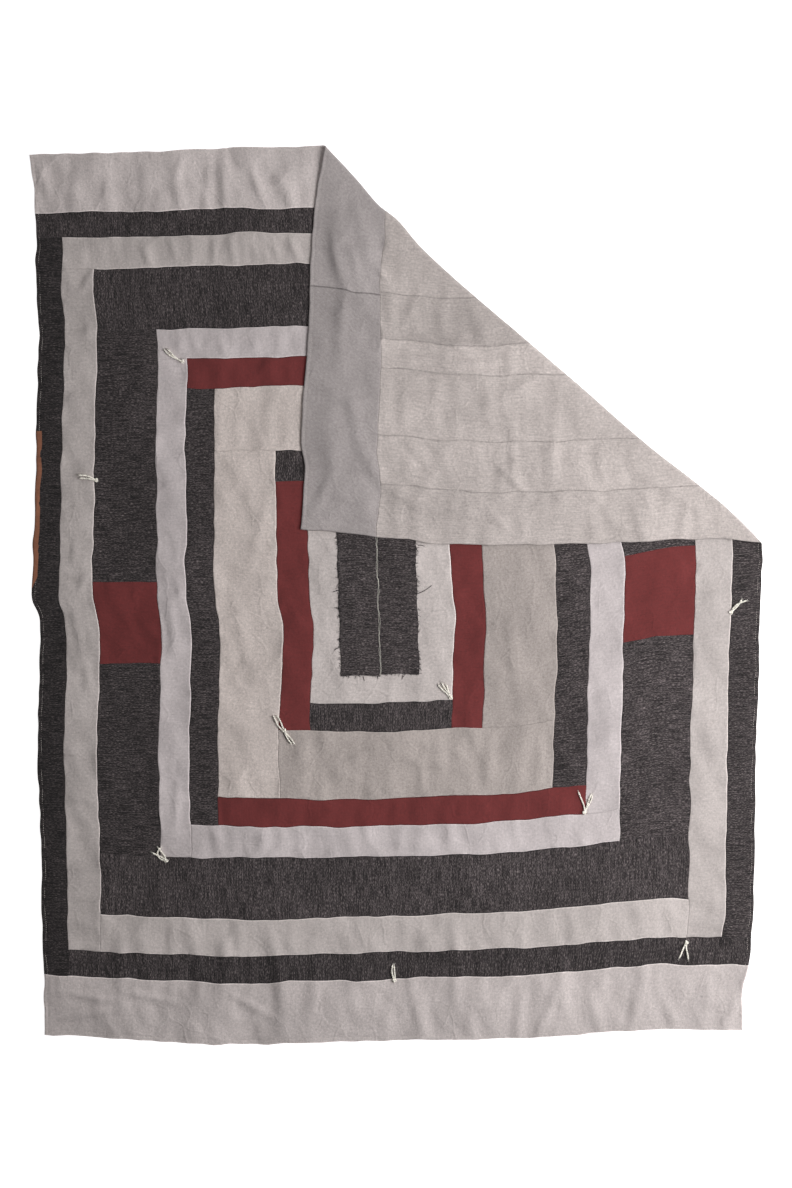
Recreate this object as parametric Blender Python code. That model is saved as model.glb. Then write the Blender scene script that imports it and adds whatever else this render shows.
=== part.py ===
"""A pieced quilt, laid flat with its top right corner folded forward over a slant.

The quilt is two sheets of cloth that share one wavy outline: a pieced top and a
pieced back. A raw-edged patch is laid on the middle of the top, and nine short
yarn ties hold the layers together. Everything is in metres, +Z up, with the
origin on the floor under the middle of the quilt and +Y towards its top edge.
"""

import math
from collections import namedtuple

import bmesh
import bpy
from mathutils import Vector

MM = 0.001

# Thickness of each layer, and the gap that parts the layers.
SHEET_THICKNESS = 1.3 * MM
LAYER_GAP = 0.3 * MM
PATCH_THICKNESS = 1.0 * MM

# The seam between top and back is the middle surface of the quilt.
MIDDLE_HEIGHT = SHEET_THICKNESS + LAYER_GAP / 2
TOP_SURFACE = MIDDLE_HEIGHT + LAYER_GAP / 2 + SHEET_THICKNESS

# Corners of the outline as it lies, with the folded corner opened out.
BOTTOM_LEFT = Vector((-0.649, -0.813))
BOTTOM_RIGHT = Vector((0.640, -0.806))
TOP_LEFT = Vector((-0.677, 0.811))
TOP_RIGHT = Vector((0.571, 0.942))

# Ends of the fold, and the corner of the flap as it lies.
FOLD_TOP = Vector((-0.136, 0.831))
FOLD_SIDE = Vector((0.675, 0.093))
FLAP_CORNER = Vector((-0.180, 0.117))

FOLD_ALONG = (FOLD_SIDE - FOLD_TOP).normalized()
FOLD_ACROSS = Vector((-FOLD_ALONG.y, FOLD_ALONG.x))
FOLD_LENGTH = (FOLD_SIDE - FOLD_TOP).length

# The bend at the fold, and how the flap settles beside it.
FOLD_RADIUS = 4.5 * MM
FLAP_CLEARANCE = 2.0 * MM
SETTLE_REACH = 90 * MM
FOLD_PULL_REACH = 260 * MM
RIPPLE_FADE = 35 * MM

# Cells of the cloth across and along, and steps round the bend.
CELLS_ACROSS = 36
CELLS_ALONG = 44
BEND_STEPS = 6

# How far each edge stands out from the straight line between its corners.
# share runs from left to right, and from bottom to top; out is in metres.
EdgeRow = namedtuple("EdgeRow", "share out")
BOTTOM_EDGE = (
    EdgeRow(0.00, 0.0),
    EdgeRow(0.10, 8 * MM),
    EdgeRow(0.27, 20 * MM),
    EdgeRow(0.42, 16 * MM),
    EdgeRow(0.67, 12 * MM),
    EdgeRow(0.80, 2 * MM),
    EdgeRow(0.88, -4 * MM),
    EdgeRow(1.00, 0.0),
)
TOP_EDGE = (
    EdgeRow(0.00, 0.0),
    EdgeRow(0.14, -14 * MM),
    EdgeRow(0.30, -27 * MM),
    EdgeRow(0.43, -38 * MM),
    EdgeRow(0.48, -30 * MM),
    EdgeRow(0.58, -18 * MM),
    EdgeRow(0.73, -9 * MM),
    EdgeRow(0.87, 1 * MM),
    EdgeRow(0.91, -7 * MM),
    EdgeRow(1.00, 0.0),
)
LEFT_EDGE = (
    EdgeRow(0.00, 0.0),
    EdgeRow(0.19, 0.0),
    EdgeRow(0.34, 3 * MM),
    EdgeRow(0.40, -2 * MM),
    EdgeRow(0.47, -4 * MM),
    EdgeRow(0.50, 8 * MM),
    EdgeRow(0.58, 2 * MM),
    EdgeRow(0.71, -6 * MM),
    EdgeRow(0.80, -13 * MM),
    EdgeRow(0.84, -8 * MM),
    EdgeRow(0.93, -11 * MM),
    EdgeRow(1.00, 0.0),
)
RIGHT_EDGE = (
    EdgeRow(0.00, 0.0),
    EdgeRow(0.04, 2 * MM),
    EdgeRow(0.07, 16 * MM),
    EdgeRow(0.12, 28 * MM),
    EdgeRow(0.22, 37 * MM),
    EdgeRow(0.30, 46 * MM),
    EdgeRow(0.43, 61 * MM),
    EdgeRow(0.51, 71 * MM),
    EdgeRow(0.56, 63 * MM),
    EdgeRow(0.71, 55 * MM),
    EdgeRow(0.84, 45 * MM),
    EdgeRow(0.90, 28 * MM),
    EdgeRow(1.00, 0.0),
)
FOLD_EDGE = (
    EdgeRow(0.00, 0.0),
    EdgeRow(0.08, -7 * MM),
    EdgeRow(0.14, -15 * MM),
    EdgeRow(0.18, -12 * MM),
    EdgeRow(0.24, -20 * MM),
    EdgeRow(0.33, -21 * MM),
    EdgeRow(0.45, -17 * MM),
    EdgeRow(0.60, -12 * MM),
    EdgeRow(0.74, -9 * MM),
    EdgeRow(0.85, 0.0),
    EdgeRow(0.92, 4 * MM),
    EdgeRow(1.00, 0.0),
)

# Soft folds that stand up off the floor. x and y are the middle of the crest,
# heading is its direction in degrees, reach is half its length, spread is half
# its width and rise is its height.
Ridge = namedtuple("Ridge", "x y heading reach spread rise")
BODY_RIDGES = (
    Ridge(-0.500, -0.815, 88, 0.210, 0.075, 4.5 * MM),
    Ridge(-0.345, -0.825, 94, 0.180, 0.070, 3.5 * MM),
    Ridge(-0.185, -0.830, 91, 0.220, 0.075, 5.0 * MM),
    Ridge(0.135, -0.820, 86, 0.200, 0.075, 4.0 * MM),
    Ridge(0.300, -0.815, 96, 0.190, 0.070, 5.0 * MM),
    Ridge(0.445, -0.800, 90, 0.170, 0.065, 4.0 * MM),
    Ridge(0.590, -0.800, 82, 0.110, 0.070, 5.5 * MM),
    Ridge(-0.655, -0.560, 4, 0.150, 0.075, 3.5 * MM),
    Ridge(-0.660, -0.360, -3, 0.170, 0.080, 4.0 * MM),
    Ridge(-0.665, -0.170, 2, 0.150, 0.075, 3.5 * MM),
    Ridge(-0.675, 0.005, -6, 0.130, 0.070, 6.0 * MM),
    Ridge(-0.665, 0.330, 3, 0.150, 0.075, 4.0 * MM),
    Ridge(-0.660, 0.500, -4, 0.140, 0.070, 5.0 * MM),
    Ridge(-0.670, 0.690, 5, 0.170, 0.080, 3.5 * MM),
    Ridge(0.668, -0.130, 178, 0.140, 0.070, 4.0 * MM),
    Ridge(0.660, -0.300, 184, 0.150, 0.075, 3.5 * MM),
    Ridge(0.655, -0.480, 176, 0.160, 0.075, 4.5 * MM),
    Ridge(-0.560, 0.815, 92, 0.130, 0.070, 3.5 * MM),
    Ridge(-0.400, 0.820, 86, 0.150, 0.070, 4.5 * MM),
    Ridge(-0.250, 0.820, 100, 0.150, 0.065, 5.0 * MM),
)
FLAP_RIDGES = (
    Ridge(-0.075, 0.650, 97, 0.170, 0.060, 4.0 * MM),
    Ridge(0.010, 0.560, 80, 0.120, 0.055, 3.0 * MM),
    Ridge(-0.105, 0.250, 122, 0.190, 0.065, 4.5 * MM),
    Ridge(0.050, 0.190, 155, 0.180, 0.060, 4.0 * MM),
    Ridge(0.160, 0.400, 140, 0.130, 0.060, 3.0 * MM),
    Ridge(0.330, 0.150, 95, 0.130, 0.065, 3.0 * MM),
    Ridge(0.480, 0.150, 60, 0.110, 0.060, 3.5 * MM),
    Ridge(0.240, 0.520, 48, 0.110, 0.060, 3.0 * MM),
)

# The patch on the middle of the top, with its frayed edges.
PATCH_LEFT = -0.101
PATCH_RIGHT = 0.040
PATCH_BOTTOM = -0.151
PATCH_TOP = 0.149
PATCH_CELLS_ACROSS = 6
PATCH_CELLS_ALONG = 12
PATCH_WOBBLE = 1.5 * MM
PATCH_WOBBLE_PITCH = 70 * MM

# Yarn of the ties, and the knot that each pair of ends leaves.
YARN_RADIUS = 1.6 * MM
YARN_ROUNDNESS = 1
KNOT_RADIUS = 3.6 * MM
KNOT_HALF_HEIGHT = 2.5 * MM
KNOT_SEGMENTS = 8
KNOT_RINGS = 6
TAIL_STEP = 5 * MM
TAIL_STACK = 0.35 * MM

Knot = namedtuple("Knot", "name x y")
KNOTS = (
    Knot("tie_01", -0.394, 0.429),
    Knot("tie_02", -0.553, 0.210),
    Knot("tie_03", -0.424, -0.492),
    Knot("tie_04", -0.206, -0.252),
    Knot("tie_05", 0.101, -0.191),
    Knot("tie_06", 0.348, -0.403),
    Knot("tie_07", 0.618, -0.034),
    Knot("tie_08", 0.536, -0.643),
    Knot("tie_09", -0.003, -0.713),
)

# Each free end leaves its knot along heading and turns by bend over its length.
Tail = namedtuple("Tail", "tie heading bend length")
TAILS = (
    Tail("tie_01", 166, -38, 42 * MM),
    Tail("tie_01", 152, -24, 37 * MM),
    Tail("tie_02", 150, 28, 36 * MM),
    Tail("tie_02", 176, -8, 32 * MM),
    Tail("tie_03", 198, -130, 40 * MM),
    Tail("tie_03", 132, 14, 31 * MM),
    Tail("tie_03", 104, 12, 29 * MM),
    Tail("tie_04", 152, -52, 35 * MM),
    Tail("tie_04", 110, 12, 31 * MM),
    Tail("tie_04", -48, -10, 31 * MM),
    Tail("tie_04", -70, 14, 27 * MM),
    Tail("tie_05", 144, -18, 33 * MM),
    Tail("tie_05", 124, -4, 32 * MM),
    Tail("tie_05", 106, 8, 26 * MM),
    Tail("tie_06", 96, 22, 39 * MM),
    Tail("tie_06", 76, -12, 35 * MM),
    Tail("tie_06", 56, 16, 33 * MM),
    Tail("tie_07", 64, -52, 37 * MM),
    Tail("tie_07", 44, 10, 30 * MM),
    Tail("tie_08", -118, 6, 32 * MM),
    Tail("tie_08", -92, 16, 31 * MM),
    Tail("tie_09", 122, -50, 29 * MM),
    Tail("tie_09", 84, 14, 26 * MM),
)

Finish = namedtuple("Finish", "name colour roughness")
PIECED_TOP = Finish("pieced_top_cotton", "6F6A6A", 0.9)
PIECED_BACK = Finish("pieced_back_linen", "B9B2AC", 0.9)
RAW_PATCH = Finish("charcoal_chambray", "3E3B3D", 0.95)
TIE_YARN = Finish("cream_cotton_yarn", "E6DCCB", 0.85)


def linear(channel):
    """One channel of an sRGB colour as linear light."""
    if channel <= 0.04045:
        return channel / 12.92
    return ((channel + 0.055) / 1.055) ** 2.4


def cloth_material(finish):
    red, green, blue = (int(finish.colour[i : i + 2], 16) / 255 for i in (0, 2, 4))
    material = bpy.data.materials.new(finish.name)
    material.use_nodes = True
    shader = material.node_tree.nodes["Principled BSDF"]
    shader.inputs["Base Color"].default_value = (linear(red), linear(green), linear(blue), 1.0)
    shader.inputs["Roughness"].default_value = finish.roughness
    shader.inputs["Metallic"].default_value = 0.0
    return material


def smooth(share):
    """A soft step from 0 to 1."""
    share = min(max(share, 0.0), 1.0)
    return share * share * (3 - 2 * share)


def edge_slope(rows, index):
    before = rows[max(index - 1, 0)]
    after = rows[min(index + 1, len(rows) - 1)]
    return (after.out - before.out) / (after.share - before.share)


def edge_out(rows, share):
    """How far an edge stands out at share, on a smooth curve through its rows."""
    share = min(max(share, 0.0), 1.0)
    index = max(i for i, row in enumerate(rows[:-1]) if row.share <= share)
    first, second = rows[index], rows[index + 1]
    span = second.share - first.share
    t = (share - first.share) / span
    start_pull = (t**3 - 2 * t**2 + t) * span * edge_slope(rows, index)
    end_pull = (t**3 - t**2) * span * edge_slope(rows, index + 1)
    return first.out + (second.out - first.out) * smooth(t) + start_pull + end_pull


def edge_point(start, end, rows, share, outward):
    """The point at share of one wavy edge; outward is 1 or -1, to the left of its run."""
    run = end - start
    side = Vector((-run.y, run.x)).normalized()
    return start + run * share + side * outward * edge_out(rows, share)


def opened_out(across, along):
    """Where a point of the cloth lies in plan with the corner opened out."""
    bottom = edge_point(BOTTOM_LEFT, BOTTOM_RIGHT, BOTTOM_EDGE, across, -1)
    top = edge_point(TOP_LEFT, TOP_RIGHT, TOP_EDGE, across, 1)
    left = edge_point(BOTTOM_LEFT, TOP_LEFT, LEFT_EDGE, along, 1)
    right = edge_point(BOTTOM_RIGHT, TOP_RIGHT, RIGHT_EDGE, along, -1)
    between_ends = bottom.lerp(top, along)
    between_sides = left.lerp(right, across)
    lower = BOTTOM_LEFT.lerp(BOTTOM_RIGHT, across)
    upper = TOP_LEFT.lerp(TOP_RIGHT, across)
    return between_ends + between_sides - lower.lerp(upper, along)


def ridge_height(ridges, place):
    """Height of the soft folds above the flat cloth at a place in plan."""
    height = 0.0
    for ridge in ridges:
        heading = math.radians(ridge.heading)
        offset = place - Vector((ridge.x, ridge.y))
        along = (offset.x * math.cos(heading) + offset.y * math.sin(heading)) / ridge.reach
        across = (offset.y * math.cos(heading) - offset.x * math.sin(heading)) / ridge.spread
        if abs(along) < 1 and abs(across) < 1:
            height += ridge.rise * (1 - along**2) ** 2 * (1 - across**2) ** 2
    return height


def side_distance(place, start, end):
    """Distance of a place to the right of the line from start to end."""
    run = (end - start).normalized()
    return (place.x - start.x) * run.y - (place.y - start.y) * run.x


def clear_of_flap(place):
    """1 well outside the flap, falling to 0 at its edges and under it."""
    left_of_flap = side_distance(place, FLAP_CORNER, FOLD_TOP)
    below_flap = side_distance(place, FLAP_CORNER, FOLD_SIDE)
    return smooth(max(-left_of_flap, below_flap) / RIPPLE_FADE)


def pulled(place):
    """A place in plan moved with the fold's edge, which isn't quite straight."""
    offset = place - FOLD_TOP
    share = offset.dot(FOLD_ALONG) / FOLD_LENGTH
    reach = offset.dot(FOLD_ACROSS) / FOLD_PULL_REACH
    if not 0 < share < 1 or abs(reach) >= 1:
        return place
    return place + FOLD_ACROSS * edge_out(FOLD_EDGE, share) * (1 - reach**2) ** 2


def laid(place, height):
    """The point in space of a cloth point, from its opened-out place in plan.

    height is its distance above the middle surface, before the corner is folded.
    """
    past = (place - FOLD_TOP).dot(FOLD_ACROSS) + FOLD_RADIUS
    if past <= 0:
        rise = ridge_height(BODY_RIDGES, place) * clear_of_flap(place)
        flat = pulled(place)
        return Vector((flat.x, flat.y, MIDDLE_HEIGHT + height + rise))
    turn = min(past / FOLD_RADIUS, math.pi)
    beyond = max(past - math.pi * FOLD_RADIUS, 0.0)
    arm = FOLD_RADIUS - height
    seen = place - FOLD_ACROSS * (past - arm * math.sin(turn) + beyond)
    settled = 2 * (FOLD_RADIUS - TOP_SURFACE + MIDDLE_HEIGHT) - FLAP_CLEARANCE
    lift = FOLD_RADIUS - arm * math.cos(turn) - settled * smooth(beyond / SETTLE_REACH)
    rise = ridge_height(FLAP_RIDGES, seen) * smooth(beyond / RIPPLE_FADE)
    flat = pulled(seen)
    return Vector((flat.x, flat.y, MIDDLE_HEIGHT + lift + rise))


def cut_along_fold(bm):
    """Adds rows of points along the fold, so that the bend is round."""
    for step in range(BEND_STEPS + 1):
        distance = math.pi * FOLD_RADIUS * step / BEND_STEPS - FOLD_RADIUS
        on_line = FOLD_TOP + FOLD_ACROSS * distance
        bmesh.ops.bisect_plane(
            bm,
            geom=bm.verts[:] + bm.edges[:] + bm.faces[:],
            dist=1e-6,
            plane_co=(on_line.x, on_line.y, 0.0),
            plane_no=(FOLD_ACROSS.x, FOLD_ACROSS.y, 0.0),
        )


def thicken(bm, lowest, thickness):
    """Makes a flat grid into a closed slab from lowest upwards."""
    bmesh.ops.triangulate(bm, faces=bm.faces[:])
    bmesh.ops.translate(bm, vec=(0.0, 0.0, lowest), verts=bm.verts[:])
    raised = bmesh.ops.extrude_face_region(bm, geom=bm.faces[:])["geom"]
    upper = [item for item in raised if isinstance(item, bmesh.types.BMVert)]
    bmesh.ops.translate(bm, vec=(0.0, 0.0, thickness), verts=upper)
    bmesh.ops.recalc_face_normals(bm, faces=bm.faces[:])


def unit_grid(bm, cells_across, cells_along):
    """A flat grid whose x and y run from 0 to 1."""
    bmesh.ops.create_grid(bm, x_segments=cells_across, y_segments=cells_along, size=0.5)
    bmesh.ops.translate(bm, vec=(0.5, 0.5, 0.0), verts=bm.verts[:])


def new_piece(name, bm, finish, collection):
    mesh = bpy.data.meshes.new(name)
    bm.to_mesh(mesh)
    bm.free()
    mesh.materials.append(cloth_material(finish))
    piece = bpy.data.objects.new(name, mesh)
    collection.objects.link(piece)
    return piece


def make_sheet(name, lowest, finish, collection):
    """One layer of the quilt, from its lowest height about the middle surface."""
    bm = bmesh.new()
    unit_grid(bm, CELLS_ACROSS, CELLS_ALONG)
    for vert in bm.verts:
        place = opened_out(vert.co.x, vert.co.y)
        vert.co = (place.x, place.y, 0.0)
    cut_along_fold(bm)
    thicken(bm, lowest, SHEET_THICKNESS)
    for vert in bm.verts:
        vert.co = laid(vert.co.xy, vert.co.z)
    sheet = new_piece(name, bm, finish, collection)
    sheet.data.shade_smooth()
    sheet.data.set_sharp_from_angle(angle=math.radians(40))
    return sheet


def make_patch(collection):
    """The raw-edged patch on the middle of the top; its sides waver a little."""
    bm = bmesh.new()
    unit_grid(bm, PATCH_CELLS_ACROSS, PATCH_CELLS_ALONG)
    for vert in bm.verts:
        x = PATCH_LEFT + (PATCH_RIGHT - PATCH_LEFT) * vert.co.x
        y = PATCH_BOTTOM + (PATCH_TOP - PATCH_BOTTOM) * vert.co.y
        waver = PATCH_WOBBLE * math.sin(2 * math.pi * y / PATCH_WOBBLE_PITCH)
        lean = PATCH_WOBBLE * math.cos(2 * math.pi * x / PATCH_WOBBLE_PITCH)
        vert.co = (x + waver, y + lean, 0.0)
    thicken(bm, TOP_SURFACE + LAYER_GAP, PATCH_THICKNESS)
    return new_piece("centre_patch", bm, RAW_PATCH, collection)


def tail_points(knot, tail, order):
    """Points along one free end, which lies on the top in a single soft curve.

    Ends that leave one knot start a little above each other, in their order.
    """
    steps = max(4, round(tail.length / TAIL_STEP))
    height = TOP_SURFACE + LAYER_GAP + YARN_RADIUS
    place = Vector((knot.x, knot.y))
    points = [Vector((place.x, place.y, height + TAIL_STACK * order))]
    for step in range(steps):
        share = (step + 0.5) / steps
        heading = math.radians(tail.heading + tail.bend * share)
        place = place + Vector((math.cos(heading), math.sin(heading))) * tail.length / steps
        points.append(Vector((place.x, place.y, height + TAIL_STACK * order * (1 - share))))
    return points


def tail_mesh(knot, tail, order):
    """A closed tube of yarn as a mesh."""
    curve = bpy.data.curves.new("tail", "CURVE")
    curve.dimensions = "3D"
    curve.bevel_depth = YARN_RADIUS
    curve.bevel_resolution = YARN_ROUNDNESS
    curve.use_fill_caps = True
    points = tail_points(knot, tail, order)
    spline = curve.splines.new("POLY")
    spline.points.add(len(points) - 1)
    for target, point in zip(spline.points, points):
        target.co = (*point, 1.0)
    helper = bpy.data.objects.new("tail", curve)
    bpy.context.scene.collection.objects.link(helper)
    graph = bpy.context.evaluated_depsgraph_get()
    mesh = bpy.data.meshes.new_from_object(helper.evaluated_get(graph))
    bpy.data.objects.remove(helper)
    bm = bmesh.new()
    bm.from_mesh(mesh)
    bmesh.ops.remove_doubles(bm, verts=bm.verts[:], dist=0.01 * MM)
    bmesh.ops.recalc_face_normals(bm, faces=bm.faces[:])
    bm.to_mesh(mesh)
    bm.free()
    return mesh


def make_tie(knot, collection, cutters):
    """A knot with its free ends joined to it."""
    bm = bmesh.new()
    bmesh.ops.create_uvsphere(
        bm, u_segments=KNOT_SEGMENTS, v_segments=KNOT_RINGS, radius=KNOT_RADIUS
    )
    bmesh.ops.scale(bm, vec=(1.0, 1.0, KNOT_HALF_HEIGHT / KNOT_RADIUS), verts=bm.verts[:])
    middle = TOP_SURFACE + LAYER_GAP + KNOT_HALF_HEIGHT
    bmesh.ops.translate(bm, vec=(knot.x, knot.y, middle), verts=bm.verts[:])
    tie = new_piece(knot.name, bm, TIE_YARN, collection)
    own_tails = [tail for tail in TAILS if tail.tie == knot.name]
    for order, tail in enumerate(own_tails):
        name = f"{knot.name}_tail_{order + 1}"
        joined = bpy.data.objects.new(name, tail_mesh(knot, tail, order))
        cutters.objects.link(joined)
        joined.hide_render = True
        joined.display_type = "WIRE"
        union = tie.modifiers.new(name, "BOOLEAN")
        union.operation = "UNION"
        union.solver = "EXACT"
        union.object = joined
    return tie


def clear_scene():
    for item in list(bpy.data.objects):
        bpy.data.objects.remove(item, do_unlink=True)


def new_collection(name):
    collection = bpy.data.collections.new(name)
    bpy.context.scene.collection.children.link(collection)
    return collection


def main():
    clear_scene()
    quilt = new_collection("quilt")
    cutters = new_collection("cutters")
    make_sheet("quilt_top", LAYER_GAP / 2, PIECED_TOP, quilt)
    make_sheet("quilt_back", -LAYER_GAP / 2 - SHEET_THICKNESS, PIECED_BACK, quilt)
    make_patch(quilt)
    for knot in KNOTS:
        make_tie(knot, quilt, cutters)


main()
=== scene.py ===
"""Looks of a pieced throw quilt that lies flat with its top right corner folded over.

The file is laid out as an add-on: sizes and colours that a user may change are
properties, and each piece or group of like pieces is made by one operator.
"""

import math
from collections import namedtuple

import bmesh
import bpy
import numpy as np
from bpy.props import FloatProperty, FloatVectorProperty, IntProperty, PointerProperty
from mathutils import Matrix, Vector


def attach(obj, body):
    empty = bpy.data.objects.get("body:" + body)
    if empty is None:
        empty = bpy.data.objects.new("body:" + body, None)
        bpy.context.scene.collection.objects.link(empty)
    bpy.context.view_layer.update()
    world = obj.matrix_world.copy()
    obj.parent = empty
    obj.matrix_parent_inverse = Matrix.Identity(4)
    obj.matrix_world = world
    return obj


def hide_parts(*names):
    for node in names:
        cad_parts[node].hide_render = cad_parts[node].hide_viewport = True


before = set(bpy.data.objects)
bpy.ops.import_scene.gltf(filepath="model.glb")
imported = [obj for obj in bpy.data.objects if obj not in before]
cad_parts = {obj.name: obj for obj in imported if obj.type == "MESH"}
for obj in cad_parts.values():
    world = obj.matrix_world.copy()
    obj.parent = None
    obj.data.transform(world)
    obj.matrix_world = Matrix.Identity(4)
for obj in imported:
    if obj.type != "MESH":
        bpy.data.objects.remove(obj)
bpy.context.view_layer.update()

bl_info = {
    "name": "Pieced Throw Quilt",
    "version": (1, 0, 0),
    "blender": (4, 5, 0),
    "location": "3D View > Sidebar > Quilt",
    "description": "Makes the cloth, stitches and yarn ties of a pieced throw quilt",
    "category": "Object",
}

MM = 0.001


def linear(hex_colour):
    """An sRGB hex colour as linear light."""
    shares = [int(hex_colour[i : i + 2], 16) / 255 for i in (0, 2, 4)]
    return tuple(s / 12.92 if s <= 0.04045 else ((s + 0.055) / 1.055) ** 2.4 for s in shares)


def colour_property(name, description, hex_colour):
    return FloatVectorProperty(
        name=name, description=description, default=linear(hex_colour), subtype="COLOR", size=3,
        min=0.0, max=1.0,
    )


def length_property(name, description, millimetres):
    return FloatProperty(
        name=name, description=description, default=millimetres * MM, min=0.0, unit="LENGTH"
    )


class QuiltSizes(bpy.types.PropertyGroup):
    """Sizes of the quilt's cloth and sewing."""

    cloth_width: length_property("Cloth width", "Width of the top and the back, laid out", 1327)
    cloth_length: length_property("Cloth length", "Length of the top and the back", 1646)
    cell: length_property("Cloth cell", "Spacing of the points that shape the cloth", 5.5)
    seam_gap: length_property("Seam gap", "Gap between the lips of a seam", 0.06)
    stitch_length: length_property("Stitch length", "Length of one hem stitch", 3.0)
    stitch_pitch: length_property("Stitch pitch", "Distance from stitch to stitch", 3.9)
    stitch_inset: length_property("Stitch inset", "Distance of the hem stitches from the edge", 6.5)
    sewing_thread: length_property("Sewing thread", "Thickness of the sewing thread", 0.7)
    yarn: length_property("Tie yarn", "Thickness of the two-ply tie yarn", 3.5)
    yarn_twist: length_property("Yarn twist", "Length of one turn of the tie yarn", 6.5)
    fray_threads: IntProperty(
        name="Fray threads", description="Loose threads round the raw edges of the centre patch",
        default=190, min=0,
    )


class QuiltColours(bpy.types.PropertyGroup):
    """Colours of the quilt's cloths and yarns."""

    border_linen: colour_property("Border linen", "Pale grey linen of the end borders", "B5ACAA")
    pale_linen: colour_property("Pale linen", "Pale grey linen of the inner strips", "BCB3B0")
    cool_linen: colour_property("Cool linen", "Cool grey linen", "BDB4B4")
    oat_linen: colour_property("Oat linen", "Warm grey linen of the wide strips", "BEB3AE")
    charcoal: colour_property("Charcoal", "Dark yarn of the chambray", "302A2C")
    charcoal_fleck: colour_property("Charcoal fleck", "Pale yarn of the chambray", "756C6B")
    brick: colour_property("Brick red", "Red cotton of the accent strips", "6D2D2D")
    band_linen: colour_property("Band linen", "Grey linen along the top of the back", "A8A09F")
    back_linen: colour_property("Back linen", "Pale linen of the back panels", "C2B8B4")
    rust: colour_property("Rust", "Brown cloth that shows at the left edge", "8A5A44")
    olive: colour_property("Olive thread", "Dark selvedge thread at the left edge", "3A3630")
    cream: colour_property("Cream yarn", "Cotton yarn of the ties", "FCF7EC")
    thread: colour_property("Sewing thread", "Pale cotton sewing thread", "CFC6C0")


# Layers of the quilt, as its solids have them.
SHEET_THICKNESS = 1.3 * MM
LAYER_GAP = 0.3 * MM
PATCH_THICKNESS = 1.0 * MM
MIDDLE_HEIGHT = SHEET_THICKNESS + LAYER_GAP / 2
OUTER_HEIGHT = LAYER_GAP / 2 + SHEET_THICKNESS
TOP_SURFACE = MIDDLE_HEIGHT + OUTER_HEIGHT

# Corners of the outline, opened out, and the ends of the fold and its corner.
BOTTOM_LEFT = np.array((-0.649, -0.813))
BOTTOM_RIGHT = np.array((0.640, -0.806))
TOP_LEFT = np.array((-0.677, 0.811))
TOP_RIGHT = np.array((0.571, 0.942))
FOLD_TOP = np.array((-0.136, 0.831))
FOLD_SIDE = np.array((0.675, 0.093))
FLAP_CORNER = np.array((-0.180, 0.117))
FOLD_LENGTH = float(np.linalg.norm(FOLD_SIDE - FOLD_TOP))
FOLD_ALONG = (FOLD_SIDE - FOLD_TOP) / FOLD_LENGTH
FOLD_ACROSS = np.array((-FOLD_ALONG[1], FOLD_ALONG[0]))
FOLD_RADIUS = 4.5 * MM
FOLD_MARGIN = 4 * FOLD_RADIUS
FLAP_CLEARANCE = 2.0 * MM
# Past the bend the flap comes down over a reach. Near its left edge it drops
# further, and its folds keep only a share of their rise.
SETTLE_REACH = 60 * MM
EDGE_DROP = 1.3 * MM
EDGE_REACH = 60 * MM
EDGE_RISE_SHARE = 0.25
# How far from the fold its uneven line pulls the cloth, and over what length
# folds fade beside it.
FOLD_PULL_REACH = 260 * MM
RIPPLE_FADE = 35 * MM
BEND_STEPS = 6
# Lengths that differ by less than this are the same.
SAME = 1e-6

# A wavy edge: share runs from left to right, or from bottom to top.
EdgeRow = namedtuple("EdgeRow", "share out")


def edge_rows(*rows):
    """Rows of an edge, from pairs of a share and how far it stands out in millimetres."""
    return [EdgeRow(share, out * MM) for share, out in rows]


BOTTOM_EDGE = edge_rows(
    (0.00, 0), (0.10, 8), (0.27, 20), (0.42, 16), (0.67, 12), (0.80, 2), (0.88, -4), (1.00, 0),
)
TOP_EDGE = edge_rows(
    (0.00, 0), (0.14, -14), (0.30, -27), (0.43, -38), (0.48, -30), (0.58, -18), (0.73, -9),
    (0.87, 1), (0.91, -7), (1.00, 0),
)
LEFT_EDGE = edge_rows(
    (0.00, 0), (0.19, 0), (0.34, 3), (0.40, -2), (0.47, -4), (0.50, 8), (0.58, 2), (0.71, -6),
    (0.80, -13), (0.84, -8), (0.93, -11), (1.00, 0),
)
RIGHT_EDGE = edge_rows(
    (0.00, 0), (0.04, 2), (0.07, 16), (0.12, 28), (0.22, 37), (0.30, 46), (0.43, 61), (0.51, 71),
    (0.56, 63), (0.71, 55), (0.84, 45), (0.90, 28), (1.00, 0),
)
FOLD_EDGE = edge_rows(
    (0.00, 0), (0.08, -7), (0.14, -15), (0.18, -12), (0.24, -20), (0.33, -21), (0.45, -17),
    (0.60, -12), (0.74, -9), (0.85, 0), (0.92, 4), (1.00, 0),
)

# Soft folds: x and y are the middle of the crest, heading is in degrees, reach
# is half its length, spread half its width, and rise its height or depth.
Ridge = namedtuple("Ridge", "x y heading reach spread rise")


def ridges(*rows):
    """Soft folds from rows in Ridge's order, with their lengths in millimetres."""
    return [
        Ridge(x * MM, y * MM, heading, reach * MM, spread * MM, rise * MM)
        for x, y, heading, reach, spread, rise in rows
    ]


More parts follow.
